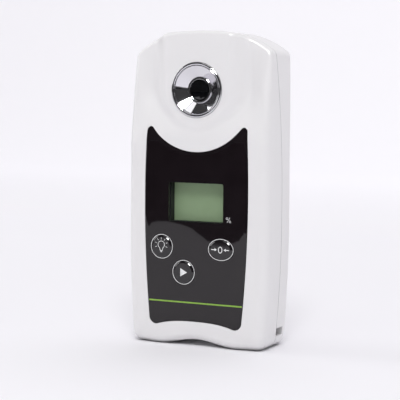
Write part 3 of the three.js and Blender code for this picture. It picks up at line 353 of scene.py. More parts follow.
# Screen-printed inks: even matt films with a slightly open grain
white_ink = surface("white_screen_ink", "#eceded", 0.5, INK_RELIEF, ("#dfe0e0", "#eceded", 1.2))
green_ink = surface("green_screen_ink", "#8bb548", 0.5, INK_RELIEF, ("#7faa3c", "#8bb548", 1.2))
tunnel_dark = surface(
    "display_tunnel_plastic", "#1c1c1f", 0.55, DARK_RELIEF, ("#141416", "#1c1c1f", 4.0), IOR=1.5)


# Meshes

# Edges sharper than this, in degrees, are kept sharp
SMOOTH_ANGLE = 30.0
ROUND_SIDES, PLAIN_SIDES, BORE_SIDES = 96, 64, 48
CORNER_STEPS = 8


def make_object(name, points, faces, material, smooth_angle=SMOOTH_ANGLE):
    """A mesh object from points in millimetres, with edges sharper than smooth_angle kept sharp."""
    mesh = bpy.data.meshes.new(name)
    mesh.from_pydata((np.asarray(points, float) * MM).tolist(), [], [list(map(int, face)) for face in faces])
    thing = bpy.data.objects.new(name, mesh)
    bpy.context.scene.collection.objects.link(thing)
    mesh.materials.append(material)
    shade(thing, smooth_angle)
    return thing


def shade(thing, smooth_angle=SMOOTH_ANGLE):
    thing.data.shade_smooth()
    thing.data.set_sharp_from_angle(angle=math.radians(smooth_angle))


def plain_mesh(thing):
    """Puts what the modifiers make of a thing in place of its mesh."""
    bpy.context.view_layer.update()
    result = bpy.data.meshes.new_from_object(thing.evaluated_get(bpy.context.evaluated_depsgraph_get()))
    thing.modifiers.clear()
    old = thing.data
    thing.data = result
    bpy.data.meshes.remove(old)
    shade(thing)


def combine(target, cutters, operation="DIFFERENCE"):
    """Cuts or joins solids in turn, and leaves the result as target's own mesh."""
    for cutter in cutters:
        modifier = target.modifiers.new("combine", "BOOLEAN")
        modifier.object = cutter
        modifier.operation = operation
        modifier.solver = "MANIFOLD"
    plain_mesh(target)
    for cutter in cutters:
        bpy.data.objects.remove(cutter)


def hand_over(piece, slot, body, *replaced):
    """Hangs a piece on the body that it moves with and hides the solids that it stands for. Its slot, what it
    is made of, is not used.
    """
    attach(piece, body)
    if replaced:
        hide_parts(*replaced)


def face_out(thing):
    """Turns the faces of a closed mesh outwards."""
    mesh = thing.data
    mesh.calc_loop_triangles()
    volume = 0.0
    for triangle in mesh.loop_triangles:
        a, b, c = (mesh.vertices[i].co for i in triangle.vertices)
        volume += a.dot(b.cross(c))
    if volume < 0:
        mesh.flip_normals()
    return thing


def turned(name, profile, material, center, scale=(1.0, 1.0), sides=ROUND_SIDES, smooth_angle=SMOOTH_ANGLE):
    """A solid turned about Y round an x and a z, from [radius, y] pairs. A zero radius is one point."""
    points, rings = [], []
    for radius, y in profile:
        count = sides if radius else 1
        rings.append(list(range(len(points), len(points) + count)))
        for i in range(count):
            angle = 2 * math.pi * i / sides
            x = center[0] + radius * scale[0] * math.cos(angle)
            points.append((x, y, center[1] + radius * scale[1] * math.sin(angle)))
    faces = []
    pairs = list(zip(rings, rings[1:]))
    if len(rings[0]) > 1:
        pairs.append((rings[-1], rings[0]))
    for a, b in pairs:
        for i in range(sides):
            j = (i + 1) % sides
            if len(a) == 1:
                faces.append([a[0], b[i], b[j]])
            elif len(b) == 1:
                faces.append([a[i], b[0], a[j]])
            else:
                faces.append([a[i], b[i], b[j], a[j]])
    return face_out(make_object(name, points, faces, material, smooth_angle))


def plug(front, back, radius=1.0):
    """The profile of a plain cylinder."""
    return [(0, front), (radius, front), (radius, back), (0, back)]


def rod(radius, front, back, x, z, sides=PLAIN_SIDES):
    return turned("rod", plug(front, back, radius), finishes["case_plastic"], (x, z), sides=sides)


def thick(name, front, back, faces, material):
    """A closed solid between front points and as many back ones, from faces over the front ones."""
    count = len(front)
    solid = [list(face) for face in faces] + [[i + count for i in reversed(face)] for face in faces]
    edges = dict.fromkeys((a, b) for face in faces for a, b in zip(face, face[1:] + face[:1]))
    solid += [[b, a, a + count, b + count] for a, b in edges if (b, a) not in edges]
    return face_out(make_object(name, front + back, solid, material))


def pushed(name, outline, front, back, material):
    """An X-Z outline pushed along Y."""
    ends = [[(x, y, z) for x, z in outline] for y in (front, back)]
    return thick(name, *ends, [list(range(len(outline)))], material)


def block(left, right, front, back, low, high):
    outline = [(left, low), (right, low), (right, high), (left, high)]
    return pushed("block", outline, front, back, finishes["case_plastic"])


def around(node, growth, radius):
    """A rounded rectangle round a node as it is seen from the front, larger by growth on each side."""
    low, high = node_box(node) + np.array([[-growth], [growth]])
    outline = []
    corners = [(high[0], high[2], 0), (low[0], high[2], 1), (low[0], low[2], 2), (high[0], low[2], 3)]
    for x, z, quarter_turns in corners:
        cx = x - radius if x == high[0] else x + radius
        cz = z - radius if z == high[2] else z + radius
        for i in range(CORNER_STEPS + 1):
            angle = math.pi / 2 * (quarter_turns + i / CORNER_STEPS)
            outline.append((cx + radius * math.cos(angle), cz + radius * math.sin(angle)))
    return outline


def smooth_step(share):
    t = np.clip(share, 0, 1)
    return t * t * (3 - 2 * t)


EDGE_SAMPLES, CORNER_ROUNDS = 90, 12


class Outline:
    """A left-right symmetric outline from a side, a foot and a head curve, with round corners."""

    def __init__(self, side, foot, head, foot_radius, head_radius):
        self.side, self.foot, self.head = side, foot, head
        self.low = self.corner(foot, foot_radius, -1)
        self.high = self.corner(head, head_radius, 1)

    def corner(self, curve, radius, sign):
        """The arc between the side and the foot curve (sign -1) or the head curve (sign 1)."""
        step = radius / 100
        cx = float(self.side(curve(0.0))) - radius
        cz = float(curve(cx)) - sign * radius
        angle = sign * math.pi / 2
        for _ in range(CORNER_ROUNDS):
            touch = cx + radius * math.cos(angle)
            slope = (curve(touch + step) - curve(touch - step)) / (2 * step)
            angle = math.atan2(sign, -sign * slope)
            cz = float(curve(cx + radius * math.cos(angle))) - radius * math.sin(angle)
            cx = float(self.side(cz)) - radius
        return {
            "cx": cx,
            "cz": cz,
            "radius": radius,
            "touch": cx + radius * math.cos(angle),
            "x": cx + radius * math.cos(angle / 2),
            "z": cz + radius * math.sin(angle / 2),
        }

    def rise(self, corner, run):
        return np.sqrt(np.maximum(corner["radius"] ** 2 - run ** 2, 0))

    def foot_z(self, x):
        arc = self.low["cz"] - self.rise(self.low, np.abs(x) - self.low["cx"])
        return np.where(np.abs(x) < self.low["touch"], self.foot(x), arc)

    def head_z(self, x):
        arc = self.high["cz"] + self.rise(self.high, np.abs(x) - self.high["cx"])
        return np.where(np.abs(x) < self.high["touch"], self.head(x), arc)

    def side_x(self, z):
        below = self.low["cx"] + self.rise(self.low, self.low["cz"] - z)
        above = self.high["cx"] + self.rise(self.high, z - self.high["cz"])
        return np.where(z < self.low["cz"], below, np.where(z > self.high["cz"], above, self.side(z)))

    def point(self, across, up):
        side_z = self.low["z"] + (self.high["z"] - self.low["z"]) * up
        foot_pull = (1 - up) * (self.foot_z(across * self.low["x"]) - self.low["z"])
        head_pull = up * (self.head_z(across * self.high["x"]) - self.high["z"])
        return across * self.side_x(side_z), side_z + foot_pull + head_pull

    def edge(self):
        """Points along the outline."""
        run = np.arange(EDGE_SAMPLES) / EDGE_SAMPLES
        one = np.ones(EDGE_SAMPLES)
        sides = [(2 * run - 1, 0 * one), (one, run), (1 - 2 * run, one), (-one, 1 - run)]
        return np.concatenate([np.stack(self.point(a, u), axis=1) for a, u in sides])

    def distance(self, x, z):
        """Distance of points to the outline."""
        starts = self.edge()
        runs = np.roll(starts, -1, axis=0) - starts
        lengths = (runs ** 2).sum(axis=1)
        points = np.stack([x.ravel(), z.ravel()], axis=1)
        nearest = np.full(len(points), np.inf)
        for start, run, length in zip(starts, runs, lengths):
            t = np.clip(((points - start) @ run) / length, 0, 1)
            gap = points - start - t[:, None] * run
            nearest = np.minimum(nearest, (gap ** 2).sum(axis=1))
        return np.sqrt(nearest).reshape(x.shape)


def to_head(z, foot_value, head_value):
    """Goes from one value below the middle of the case to another at its head."""
    return foot_value + (head_value - foot_value) * smooth_step((z - HEIGHT / 2) / (HEIGHT / 2))


def edge_fall(distance, radius):
    """How far a face steps back at a distance from its rounded edge."""
    fall = radius - np.sqrt(np.maximum(radius ** 2 - (radius - distance) ** 2, 0))
    return np.where(distance < radius, fall, 0.0)


def even(count):
    """So many shares from 0 to 1, evenly spread."""
    return np.linspace(0, 1, count)


# The first plain line of a grid keeps this many edge widths from the edge
CLEAR_OF_EDGE = 1.15


def grid_shares(edge_share, steps, inner):
    """Shares from 0 to 1 with close lines over the rounded edges."""
    edge = edge_share * (1 - np.cos(np.arange(steps) / steps * math.pi / 2))
    clear = edge_share * CLEAR_OF_EDGE
    inner = inner[(inner > clear) & (inner < 1 - clear)]
    return np.concatenate([edge, [edge_share], inner, [1 - edge_share], (1 - edge)[::-1]])


def slab(name, outline, across, up, front, back, material):
    """A closed solid over an outline. Its two faces give y from x, z and the distance to the edge."""
    a, u = np.meshgrid(2 * across - 1, up)
    x, z = outline.point(a, u)
    distance = outline.distance(x, z)
    distance[[0, -1], :] = 0
    distance[:, [0, -1]] = 0
    rows, columns = x.shape
    points = np.concatenate([
        np.stack([x, front(x, z, distance), z], axis=-1).reshape(-1, 3),
        np.stack([x, back(x, z, distance), z], axis=-1).reshape(-1, 3),
    ])
    index = np.arange(rows * columns).reshape(rows, columns)
    far = index + rows * columns
    quads = [
        (index[:-1, :-1], index[:-1, 1:], index[1:, 1:], index[1:, :-1]),
        (far[:-1, :-1], far[1:, :-1], far[1:, 1:], far[:-1, 1:]),
        (far[0, :-1], far[0, 1:], index[0, 1:], index[0, :-1]),
        (index[-1, :-1], index[-1, 1:], far[-1, 1:], far[-1, :-1]),
        (index[1:, 0], far[1:, 0], far[:-1, 0], index[:-1, 0]),
        (index[:-1, -1], far[:-1, -1], far[1:, -1], index[1:, -1]),
    ]
    faces = np.concatenate([np.stack([part.ravel() for part in quad], axis=1) for quad in quads])
    return face_out(make_object(name, points, faces, material))


# Geometry Nodes, for what repeats or follows a path

def node_tree(name, sizes):
    """An empty geometry tree with a named input for each size. Returns it, what it gets and what it gives."""
    tree = bpy.data.node_groups.new(name, "GeometryNodeTree")
    tree.interface.new_socket("Geometry", in_out="INPUT", socket_type="NodeSocketGeometry")
    tree.interface.new_socket("Geometry", in_out="OUTPUT", socket_type="NodeSocketGeometry")
    for label in sizes:
        tree.interface.new_socket(label, in_out="INPUT", socket_type="NodeSocketFloat")
    return tree, tree.nodes.new("NodeGroupInput").outputs, tree.nodes.new("NodeGroupOutput").inputs


def finish_tree(tree, leave, geometry, material):
    """Makes the instances real and gives them their material, at the end of a tree."""
    real = add(tree, "GeometryNodeRealizeInstances", Geometry=geometry)
    painted = add(tree, "GeometryNodeSetMaterial", Geometry=real.outputs["Geometry"], Material=material)
    tree.links.new(painted.outputs["Geometry"], leave["Geometry"])


def grown(name, tree, sizes, points=()):
    """A plain mesh from a geometry tree, fed with points in millimetres and with its sizes."""
    mesh = bpy.data.meshes.new(name)
    mesh.from_pydata([[c * MM for c in point] for point in points], [], [])
    thing = bpy.data.objects.new(name, mesh)
    bpy.context.scene.collection.objects.link(thing)
    modifier = thing.modifiers.new("grow", "NODES")
    modifier.node_group = tree
    for socket in tree.interface.items_tree:
        if socket.in_out == "INPUT" and socket.name in sizes:
            modifier[socket.identifier] = float(sizes[socket.name])
    plain_mesh(thing)
    return thing


def vector(tree, **parts):
    """A vector of the parts X, Y and Z that are given, the others zero."""
    return add(tree, "ShaderNodeCombineXYZ", **parts).outputs[0]


# The outlines and faces of the case and its panel

def case_outline(inset=0.0):
    def side(z):
        draw_in = np.where(z < WIDEST_Z, FOOT_DRAW_IN, HEAD_DRAW_IN)
        run = np.where(z < WIDEST_Z, WIDEST_Z, HEIGHT - WIDEST_Z)
        return HALF_WIDTH - inset - draw_in * ((z - WIDEST_Z) / run) ** 2

    def foot(x):
        run = np.minimum(np.abs(x) / FOOT_ARCH_HALF_SPAN, 1)
        return inset + FOOT_ARCH_RISE * (1 + np.cos(math.pi * run)) / 2

    def head(x):
        past = np.maximum(np.abs(x) - SHOULDER_BREAK, 0)
        return HEIGHT - inset - x ** 2 / (2 * CROWN_RADIUS) - past ** 2 / (2 * SHOULDER_RADIUS)

    foot_corner = max(FOOT_CORNER - inset, LEAST_FOOT_CORNER)
    return Outline(side, foot, head, foot_corner, max(HEAD_CORNER - inset, LEAST_HEAD_CORNER))


def panel_outline(growth=0.0):
    def side(z):
        return PANEL_HALF_WIDTH + growth - (z - PANEL_WIDEST_Z) ** 2 / (2 * PANEL_BOW)

    def foot(x):
        return PANEL_FOOT - growth - PANEL_FOOT_ARCH * (np.abs(x) / PANEL_FOOT_SPAN) ** PANEL_FOOT_POWER

    def head(x):
        return WELL_Z - np.sqrt(np.maximum((PANEL_HEAD_RADIUS - growth) ** 2 - x ** 2, 0))

    return Outline(side, foot, head, PANEL_FOOT_CORNER + growth, PANEL_TIP + growth)


def face_drop(x, z):
    """How far the face steps back beside the hood, whose flank falls at 45 degrees from a soft ridge."""
    flank = np.where(z < WELL_Z, np.hypot(x, z - WELL_Z), np.abs(x)) - HOOD_RIDGE
    soft = HOOD_RIDGE_SOFTNESS
    wall = np.where(np.abs(flank) < soft, (flank + soft) ** 2 / (4 * soft), np.maximum(flank, 0))
    beside_hood = HOOD_HEIGHT * smooth_step((z - SHOULDER_START_Z) / SHOULDER_RAMP)
    beside_edge = EDGE_SLOPE * np.maximum(z - EDGE_START_Z, 0)
    outward = smooth_step((np.abs(x) - SHOULDER_BLEND[0]) / SHOULDER_BLEND[1])
    shoulder = beside_hood + (beside_edge - beside_hood) * outward
    mix = np.maximum(HOOD_FOOT_BLEND - np.abs(shoulder - wall), 0)
    return np.maximum(np.minimum(shoulder, wall) - mix ** 2 / (4 * HOOD_FOOT_BLEND), 0)


def face_y(x, z):
    return FRONT_Y + face_drop(x, z)


def face_edge(x, z):
    """The radius of the front edge: widest along the sides, least at the head."""
    outward = smooth_step((np.abs(x) - SIDE_EDGE_BLEND[0]) / SIDE_EDGE_BLEND[1])
    return to_head(z, FACE_EDGE + (FACE_SIDE_EDGE - FACE_EDGE) * outward, FACE_TOP_EDGE)


def rear_edge(z):
    return to_head(z, BACK_EDGE, BACK_TOP_EDGE)


def parting_y(z):
    middle = HEIGHT / 2
    foot_run = np.maximum(middle - z, 0) / middle
    head_run = np.maximum(z - PARTING_HEAD_Z, 0) / (HEIGHT - PARTING_HEAD_Z)
    return PARTING_MIDDLE - PARTING_FOOT_SINK * foot_run ** 2 - PARTING_HEAD_SINK * head_run ** 2


def parting_offset(offset):
    """A face of a slab that keeps this far behind the parting line."""
    return lambda x, z, d: parting_y(z) + offset


def face_offset(offset):
    """A face of a slab that keeps this far behind the front face."""
    return lambda x, z, d: face_y(x, z) + offset


KEY_HALVES = {"light": (4.8, 4.8), "start": (4.8, 4.8), "zero": (5.4, 4.2)}
KEY_FLANGE = 1.1


def key_solid(name, key, growth, profile, sides=ROUND_SIDES, slot="key_dome"):
    """A round or oval solid on a key's axis, from [share of the key's half size with its growth, y] pairs."""
    x, _, z = node_middle(f"{key}_switch")
    half = KEY_HALVES[key]
    return turned(name, profile, finishes[slot], (x, z), (half[0] + growth, half[1] + growth), sides)


def key_hole(key, growth=FIT):
    """The cutter for a key's hole. The walls that it cuts take its finish."""
    profile = plug(FRONT_Y - OVERRUN, FRONT_Y + FACE_WALL + OVERRUN)
    return key_solid("key_hole", key, growth, profile, PLAIN_SIDES, "case_plastic")


def window_outline(growth):
    return around("display_window", growth, WINDOW_CORNER + growth)


# Front cover

WELL_BOSS, WELL_BORE, RIM_SEAT_DEPTH = 14.0, 8.9, 2.2
TUNNEL_MARGIN = 0.95
# Grid lines over a rounded edge, and the grid of a solid that is hardly seen
EDGE_LINES, FOOT_EDGE_LINES = 10, 8
PLAIN_GRID = even(40)


def front_cover():
    material = finishes["case_plastic"]
    across = grid_shares(FACE_SIDE_EDGE / (2 * HALF_WIDTH), EDGE_LINES, even(110))
    ramp_start = EDGE_START_Z / HEIGHT
    rows = np.concatenate([np.linspace(0, ramp_start, 24), np.linspace(ramp_start, 1, 90)[1:]])
    cover = slab(
        "front_shell", case_outline(), across, grid_shares(FACE_EDGE / HEIGHT, FOOT_EDGE_LINES, rows),
        lambda x, z, d: face_y(x, z) + edge_fall(d, face_edge(x, z)), parting_offset(0), material)
    hollow = slab(
        "hollow", case_outline(SIDE_WALL), PLAIN_GRID, PLAIN_GRID,
        face_offset(FACE_WALL), parting_offset(OVERRUN), material)
    combine(cover, [hollow])
    combine(cover, [rod(WELL_BOSS, FRONT_Y + FACE_WALL / 2, WELL_HIGH[1], 0, WELL_Z)], "UNION")
    recess = slab(
        "recess", panel_outline(PANEL_FIT), even(60), even(90),
        face_offset(-OVERRUN), face_offset(PANEL_THICKNESS + FIT), material)
    window_low, window_high = node_box("display_window")
    tunnel = block(
        window_low[0] - TUNNEL_MARGIN, window_high[0] + TUNNEL_MARGIN,
        FRONT_Y - OVERRUN, FRONT_Y + FACE_WALL + OVERRUN,
        window_low[2] - TUNNEL_MARGIN, window_high[2] + TUNNEL_MARGIN)
    combine(cover, [
        recess,
        rod(RIM_RADIUS + FIT / 2, FRONT_Y - OVERRUN, FRONT_Y + RIM_SEAT_DEPTH, 0, WELL_Z, ROUND_SIDES),
        rod(WELL_BORE, FRONT_Y - OVERRUN, WELL_HIGH[1] + OVERRUN, 0, WELL_Z, ROUND_SIDES),
        *[key_hole(key) for key in KEY_HALVES],
        tunnel])
    hand_over(cover, "case_plastic", "housing", "front_cover")


# Rear cover

SLOT_LOW, SLOT_HIGH = 4.4, 7.5
SLOT_INNER, SLOT_PASS, SLOT_POST, SLOT_WALL = 22.0, 4.0, 5.6, 1.6
SLOT_FRONT = float(parting_y(SLOT_LOW))
BAY_HALF_WIDTH = 6.2
BAY_WALL = 1.2
DOOR_CORNER, DOOR_LEDGE = 3.0, 1.8
SEAL_GROOVE_CORNER, SEAL_CORE_CORNER, SEAL_WIDTH, SEAL_OVERRUN = 2.7, 1.5, 1.2, 1.0
COVER_BOSS, COVER_BOSS_DEPTH, COVER_BORE = 3.1, 1.7, 1.4
CASE_BOSS_WALL = 1.7
SCREW_HEAD, SCREW_HEAD_HEIGHT, SCREW_SHANK = 2.6, 1.8, 1.3
CASE_SCREWS = [f"case_screw_{i}" for i in range(1, 5)]
COVER_SCREWS = ["battery_cover_screw_lower", "battery_cover_screw_upper"]


def at_screw(node, radius, front, back):
    x, _, z = node_middle(node)
    return rod(radius, front, back, x, z, BORE_SIDES)


def rear_shell(material):
    across = grid_shares(BACK_EDGE / (2 * HALF_WIDTH), EDGE_LINES, even(50))
    up = grid_shares(BACK_EDGE / HEIGHT, EDGE_LINES, even(80))
    shell = slab(
        "rear_shell", case_outline(), across, up, parting_offset(FIT),
        lambda x, z, d: BACK_Y - edge_fall(d, rear_edge(z)), material)
    hollow = slab(
        "hollow", case_outline(SIDE_WALL), PLAIN_GRID, PLAIN_GRID, parting_offset(-OVERRUN),
        lambda x, z, d: BACK_Y - BACK_WALL - edge_fall(d, rear_edge(z) - BACK_TOP_EDGE / 2), material)
    combine(shell, [hollow])
    return shell


def slot_corner(inner, material):
    """The solid foot corner that the strap slot goes through, up to the middle of the back wall."""
    corner = slab(
        "corner", case_outline(SIDE_WALL / 2), PLAIN_GRID, PLAIN_GRID, parting_offset(FIT),
        lambda x, z, d: inner - edge_fall(d, rear_edge(z)), material)
    limits = block(
        SLOT_INNER - SLOT_WALL, HALF_WIDTH, SLOT_FRONT - SLOT_WALL, BACK_Y, 0, SLOT_HIGH + SLOT_WALL)
    combine(corner, [limits], "INTERSECT")
    return corner


def seal_groove(ledge, material):
    """The ring in which the seal of the battery cover lies."""
    front, back = node_box("battery_cover_seal")[0][1] - FIT, ledge + SEAL_OVERRUN
    ring = pushed("groove", around("battery_cover_seal", FIT, SEAL_GROOVE_CORNER), front, back, material)
    core = around("battery_cover_seal", -SEAL_WIDTH, SEAL_CORE_CORNER)
    combine(ring, [pushed("core", core, front - SEAL_OVERRUN, back + SEAL_OVERRUN, material)])
    return ring


def rear_cover():
    material = finishes["case_plastic"]
    cover = rear_shell(material)
    bay_low = node_box("battery_spring")[0][2] - FIT
    bay_high = node_box("battery_contact")[1][2] + FIT
    bay_front = node_box("battery")[0][1] - FIT
    ledge = node_box("battery_cover")[0][1] - FIT
    inner = BACK_Y - BACK_WALL / 2
    half = BAY_HALF_WIDTH + BAY_WALL
    walls = [
        block(-half, half, bay_front - BAY_WALL, inner, bay_low - BAY_WALL, bay_high + BAY_WALL),
        pushed("pad", around("battery_cover", BAY_WALL, DOOR_CORNER), ledge - DOOR_LEDGE, inner, material)]
    cutters = [
        block(SLOT_INNER, 2 * HALF_WIDTH, SLOT_FRONT, BACK_Y - SLOT_POST, SLOT_LOW, SLOT_HIGH),
        block(SLOT_INNER, SLOT_INNER + SLOT_PASS, SLOT_FRONT, BACK_Y + OVERRUN, SLOT_LOW, SLOT_HIGH),
        block(-BAY_HALF_WIDTH, BAY_HALF_WIDTH, bay_front, BACK_Y + OVERRUN, bay_low, bay_high),
        pushed("opening", around("battery_cover", FIT, DOOR_CORNER + FIT), ledge, BACK_Y + OVERRUN, material),
        seal_groove(ledge, material)]
    for screw in COVER_SCREWS:
        front = node_box(screw)[0][1]
        walls.append(at_screw(screw, COVER_BOSS, front - COVER_BOSS_DEPTH, ledge))
        cutters.append(at_screw(screw, COVER_BORE, front - FIT, BACK_Y))
    for screw in CASE_SCREWS:
        low, high = node_box(screw)
        start = float(parting_y((low[2] + high[2]) / 2)) + 2 * FIT
        walls.append(at_screw(screw, SCREW_HEAD + FIT + CASE_BOSS_WALL, start, inner))
        cutters.append(at_screw(screw, SCREW_SHANK + FIT, low[1], BACK_Y))
        cutters.append(at_screw(screw, SCREW_HEAD + FIT, high[1] - SCREW_HEAD_HEIGHT - FIT, BACK_Y + OVERRUN))
    combine(cover, walls, "UNION")
    combine(cover, [slot_corner(inner, material)], "UNION")
    combine(cover, cutters)
    hand_over(cover, "case_plastic", "housing", "rear_cover")


SEAL_LIP = (0.3, 1.1)
SEAL_PLAY = 0.04


def seal_lip():
    """The outer lip of the case seal, seen as a dark line between the two covers."""
    lip, core = [
        slab(name, case_outline(inset), PLAIN_GRID, even(70), parting_offset(front), parting_offset(back),
             finishes["seal_rubber"])
        for name, inset, front, back in (
            ("case_seal_lip", SEAL_LIP[0], SEAL_PLAY, FIT - SEAL_PLAY), ("core", SEAL_LIP[1], -1, 1))]
    combine(lip, [core])
    hand_over(lip, "seal_rubber", "housing")


# Screws that are seen: crowned heads with a cross recess

SCREW_SIZES = {
    "Head Radius": SCREW_HEAD, "Head Height": SCREW_HEAD_HEIGHT, "Crown Radius": 9.0,
    "Shank Radius": SCREW_SHANK, "Length": 16.2,
    "Recess Length": 3.0, "Recess Width": 0.62, "Recess Depth": 1.0}
COVER_SCREW_SIZES = {
    "Head Radius": 2.3, "Head Height": 1.0, "Crown Radius": 14.0, "Shank Radius": 1.1, "Length": 6.5,
    "Recess Length": 2.7, "Recess Width": 0.55, "Recess Depth": 0.6}
HEAD_SIDES, HEAD_RINGS, SHANK_SIDES = 48, 6, 24
TURN_SEED = 3


def screw_tree(material):
    """Screws whose heads have their tops at the fed points and look towards +Y."""
    tree, sizes, leave = node_tree("crowned_screw", SCREW_SIZES)

    def times(socket, factor):
        return reckon(tree, "MULTIPLY", socket, factor)

    def placed(geometry, height=0.0, turn=0.0):
        return add(
            tree, "GeometryNodeTransform", Geometry=geometry, Translation=vector(tree, Z=height),
            Rotation=(0.0, 0.0, turn)).outputs["Geometry"]

    def boolean(operation, target, others):
        node = add(tree, "GeometryNodeMeshBoolean", {"operation": operation, "solver": "MANIFOLD"})
        if target is not None:
            tree.links.new(target, node.inputs["Mesh 1"])
        for other in others:
            tree.links.new(other, node.inputs["Mesh 2"])
        return node.outputs["Mesh"]

    # The head: a disc whose top falls as the square of the distance from its middle
    disc = add(
        tree, "GeometryNodeMeshCylinder", {"fill_type": "TRIANGLE_FAN"}, Vertices=HEAD_SIDES,
        Fill_Segments=HEAD_RINGS, Radius=sizes["Head Radius"], Depth=sizes["Head Height"]).outputs
    place = add(tree, "GeometryNodeInputPosition").outputs[0]
    away = add(tree, "ShaderNodeSeparateXYZ", Vector=place).outputs
    squares = [reckon(tree, "MULTIPLY", away[axis], away[axis]) for axis in "XY"]
    fall = reckon(tree, "DIVIDE", reckon(tree, "ADD", *squares), times(sizes["Crown Radius"], -2.0))
    crowned = add(
        tree, "GeometryNodeSetPosition", Geometry=disc["Mesh"], Selection=disc["Top"],
        Offset=vector(tree, Z=fall))
    head = placed(crowned.outputs["Geometry"], times(sizes["Head Height"], -0.5))

    # The shank starts at half the head's height
    start = times(sizes["Head Height"], 0.5)
    run = reckon(tree, "SUBTRACT", sizes["Length"], start)
    shank = add(
        tree, "GeometryNodeMeshCylinder", Vertices=SHANK_SIDES, Radius=sizes["Shank Radius"],
        Depth=run).outputs["Mesh"]
    shank = placed(placed(shank, times(run, -0.5)), times(start, -1.0))

    size = vector(
        tree, X=sizes["Recess Length"], Y=sizes["Recess Width"], Z=times(sizes["Recess Depth"], 2.0))
    recess = [
        placed(add(tree, "GeometryNodeMeshCube", Size=size).outputs["Mesh"], 0.0, turn)
        for turn in (0.0, math.pi / 2)]
    screw = boolean("DIFFERENCE", boolean("UNION", None, [head, shank]), recess)
    toward_back = add(
        tree, "GeometryNodeTransform", Geometry=screw, Rotation=(-math.pi / 2, 0.0, 0.0)).outputs["Geometry"]
    angle = add(
        tree, "FunctionNodeRandomValue", {"data_type": "FLOAT_VECTOR"}, Max=(0.0, math.pi / 2, 0.0),
        Seed=TURN_SEED)
    points = add(tree, "GeometryNodeMeshToPoints", Mesh=sizes["Geometry"]).outputs["Points"]
    spread = add(
        tree, "GeometryNodeInstanceOnPoints", Points=points, Instance=toward_back,
        Rotation=angle.outputs["Value"])
    finish_tree(tree, leave, spread.outputs["Instances"], material)
    return tree


def screws():
    tree = screw_tree(finishes["screw_steel"])
    groups = [
        ("case_screw_set", "housing", CASE_SCREWS, SCREW_SIZES),
        ("cover_screw_lower_steel", "door_screw_lower", COVER_SCREWS[:1], COVER_SCREW_SIZES),
        ("cover_screw_upper_steel", "door_screw_upper", COVER_SCREWS[1:], COVER_SCREW_SIZES)]
    for name, body, replaced, sizes in groups:
        boxes = [node_box(node) for node in replaced]
        tops = [((low[0] + high[0]) / 2, high[1], (low[2] + high[2]) / 2) for low, high in boxes]
        piece = grown(name, tree, {label: size * MM for label, size in sizes.items()}, tops)
        hand_over(piece, "screw_steel", body, *replaced)


# Control panel

PANEL_KEY_FIT = 0.15
PANE_GAP = 0.02


def control_panel():
    material = finishes["panel_acrylic"]
    plate = slab(
        "panel_plate", panel_outline(), even(60), even(100),
        lambda x, z, d: face_y(x, z) + edge_fall(d, PANEL_EDGE), face_offset(PANEL_THICKNESS), material)
    opening = pushed("opening", window_outline(FIT), FRONT_Y - OVERRUN, FRONT_Y + OVERRUN, material)
    combine(plate, [*[key_hole(key, PANEL_KEY_FIT) for key in KEY_HALVES], opening])
    hand_over(plate, "panel_acrylic", "housing", "control_panel")
    back = node_box("display_window")[1][1]
    pane = pushed("window_pane", window_outline(FIT - PANE_GAP), FRONT_Y, back, finishes["window_acrylic"])
    hand_over(pane, "window_acrylic", "housing", "display_window")


# Sample well

WELL_FLOOR = 3.0
LIP_INNER, LIP_OUTER = 4.1, 4.95
LIP_RISE, LIP_EDGE, LIP_GROOVE = 0.5, 0.14, 0.08
RIM_BEAD, INNER_BEAD, RIM_SWELL = 1.0, 0.5, 0.3
RIM_FLANGE, DISH_RADIUS, DISH_BORE = 1.0, 8.6, 5.3
QUARTER_STEPS, BEAD_STEPS = 4, 14


def quarter(radius, y, size, start):
    """A quarter circle of a profile about a centre, from a start angle in degrees."""
    angles = np.radians(start + np.linspace(0, 90, QUARTER_STEPS + 1))
    return [(radius + size * math.cos(a), y - size * math.sin(a)) for a in angles]


def sample_well():
    """A polished dish: a lip round the prism, a straight cone and a rim of two half-round beads."""
    back = WELL_HIGH[1]
    top = WELL_LOW[1]
    floor = FRONT_Y + WELL_FLOOR
    mouth = RIM_RADIUS - RIM_BEAD - INNER_BEAD
    low_edge = floor - LIP_RISE + LIP_EDGE
    profile = [(LIP_INNER, floor)]
    profile += quarter(LIP_INNER + LIP_EDGE, low_edge, LIP_EDGE, 90)[::-1]
    profile += quarter(LIP_OUTER - LIP_EDGE, low_edge, LIP_EDGE, 0)[::-1]
    profile += [(LIP_OUTER + LIP_GROOVE, low_edge + LIP_GROOVE), (mouth, top + RIM_SWELL)]
    for start, width in ((mouth, INNER_BEAD), (mouth + INNER_BEAD, RIM_BEAD)):
        swell = RIM_SWELL * width / RIM_BEAD
        for angle in np.linspace(0, math.pi, BEAD_STEPS + 1)[1:]:
            across = start + width / 2 * (1 - math.cos(angle))
            profile.append((across, top + RIM_SWELL - swell * math.sin(angle)))
    under_rim = FRONT_Y + RIM_FLANGE
    profile += [(RIM_RADIUS, under_rim), (DISH_RADIUS, under_rim), (DISH_RADIUS, back)]
    profile += [(DISH_BORE, back), (DISH_BORE, floor)]
    well = turned(
        "well_dish", profile, finishes["well_steel"], (0, WELL_Z), sides=2 * ROUND_SIDES, smooth_angle=20)
    hand_over(well, "well_steel", "housing", "sample_well")


# Radii of the prism's polished face and of its broken edge, and how far each lies behind the solid's face
PRISM_EDGE = [(3.55, -0.01), (3.68, 0.03), (3.72, 0.12)]
PRISM_DEPTH = 0.6


def prism_face():
    """The polished face of the prism, seen at the bottom of the well."""
    front = node_box("prism")[0][1]
    profile = [(0, front + PRISM_EDGE[0][1])] + [(radius, front + behind) for radius, behind in PRISM_EDGE]
    profile += [(PRISM_EDGE[-1][0], front + PRISM_DEPTH), (0, front + PRISM_DEPTH)]
    face = turned("prism_face", profile, finishes["prism_glass"], (0, WELL_Z))
    hand_over(face, "prism_glass", "housing")


# Keys

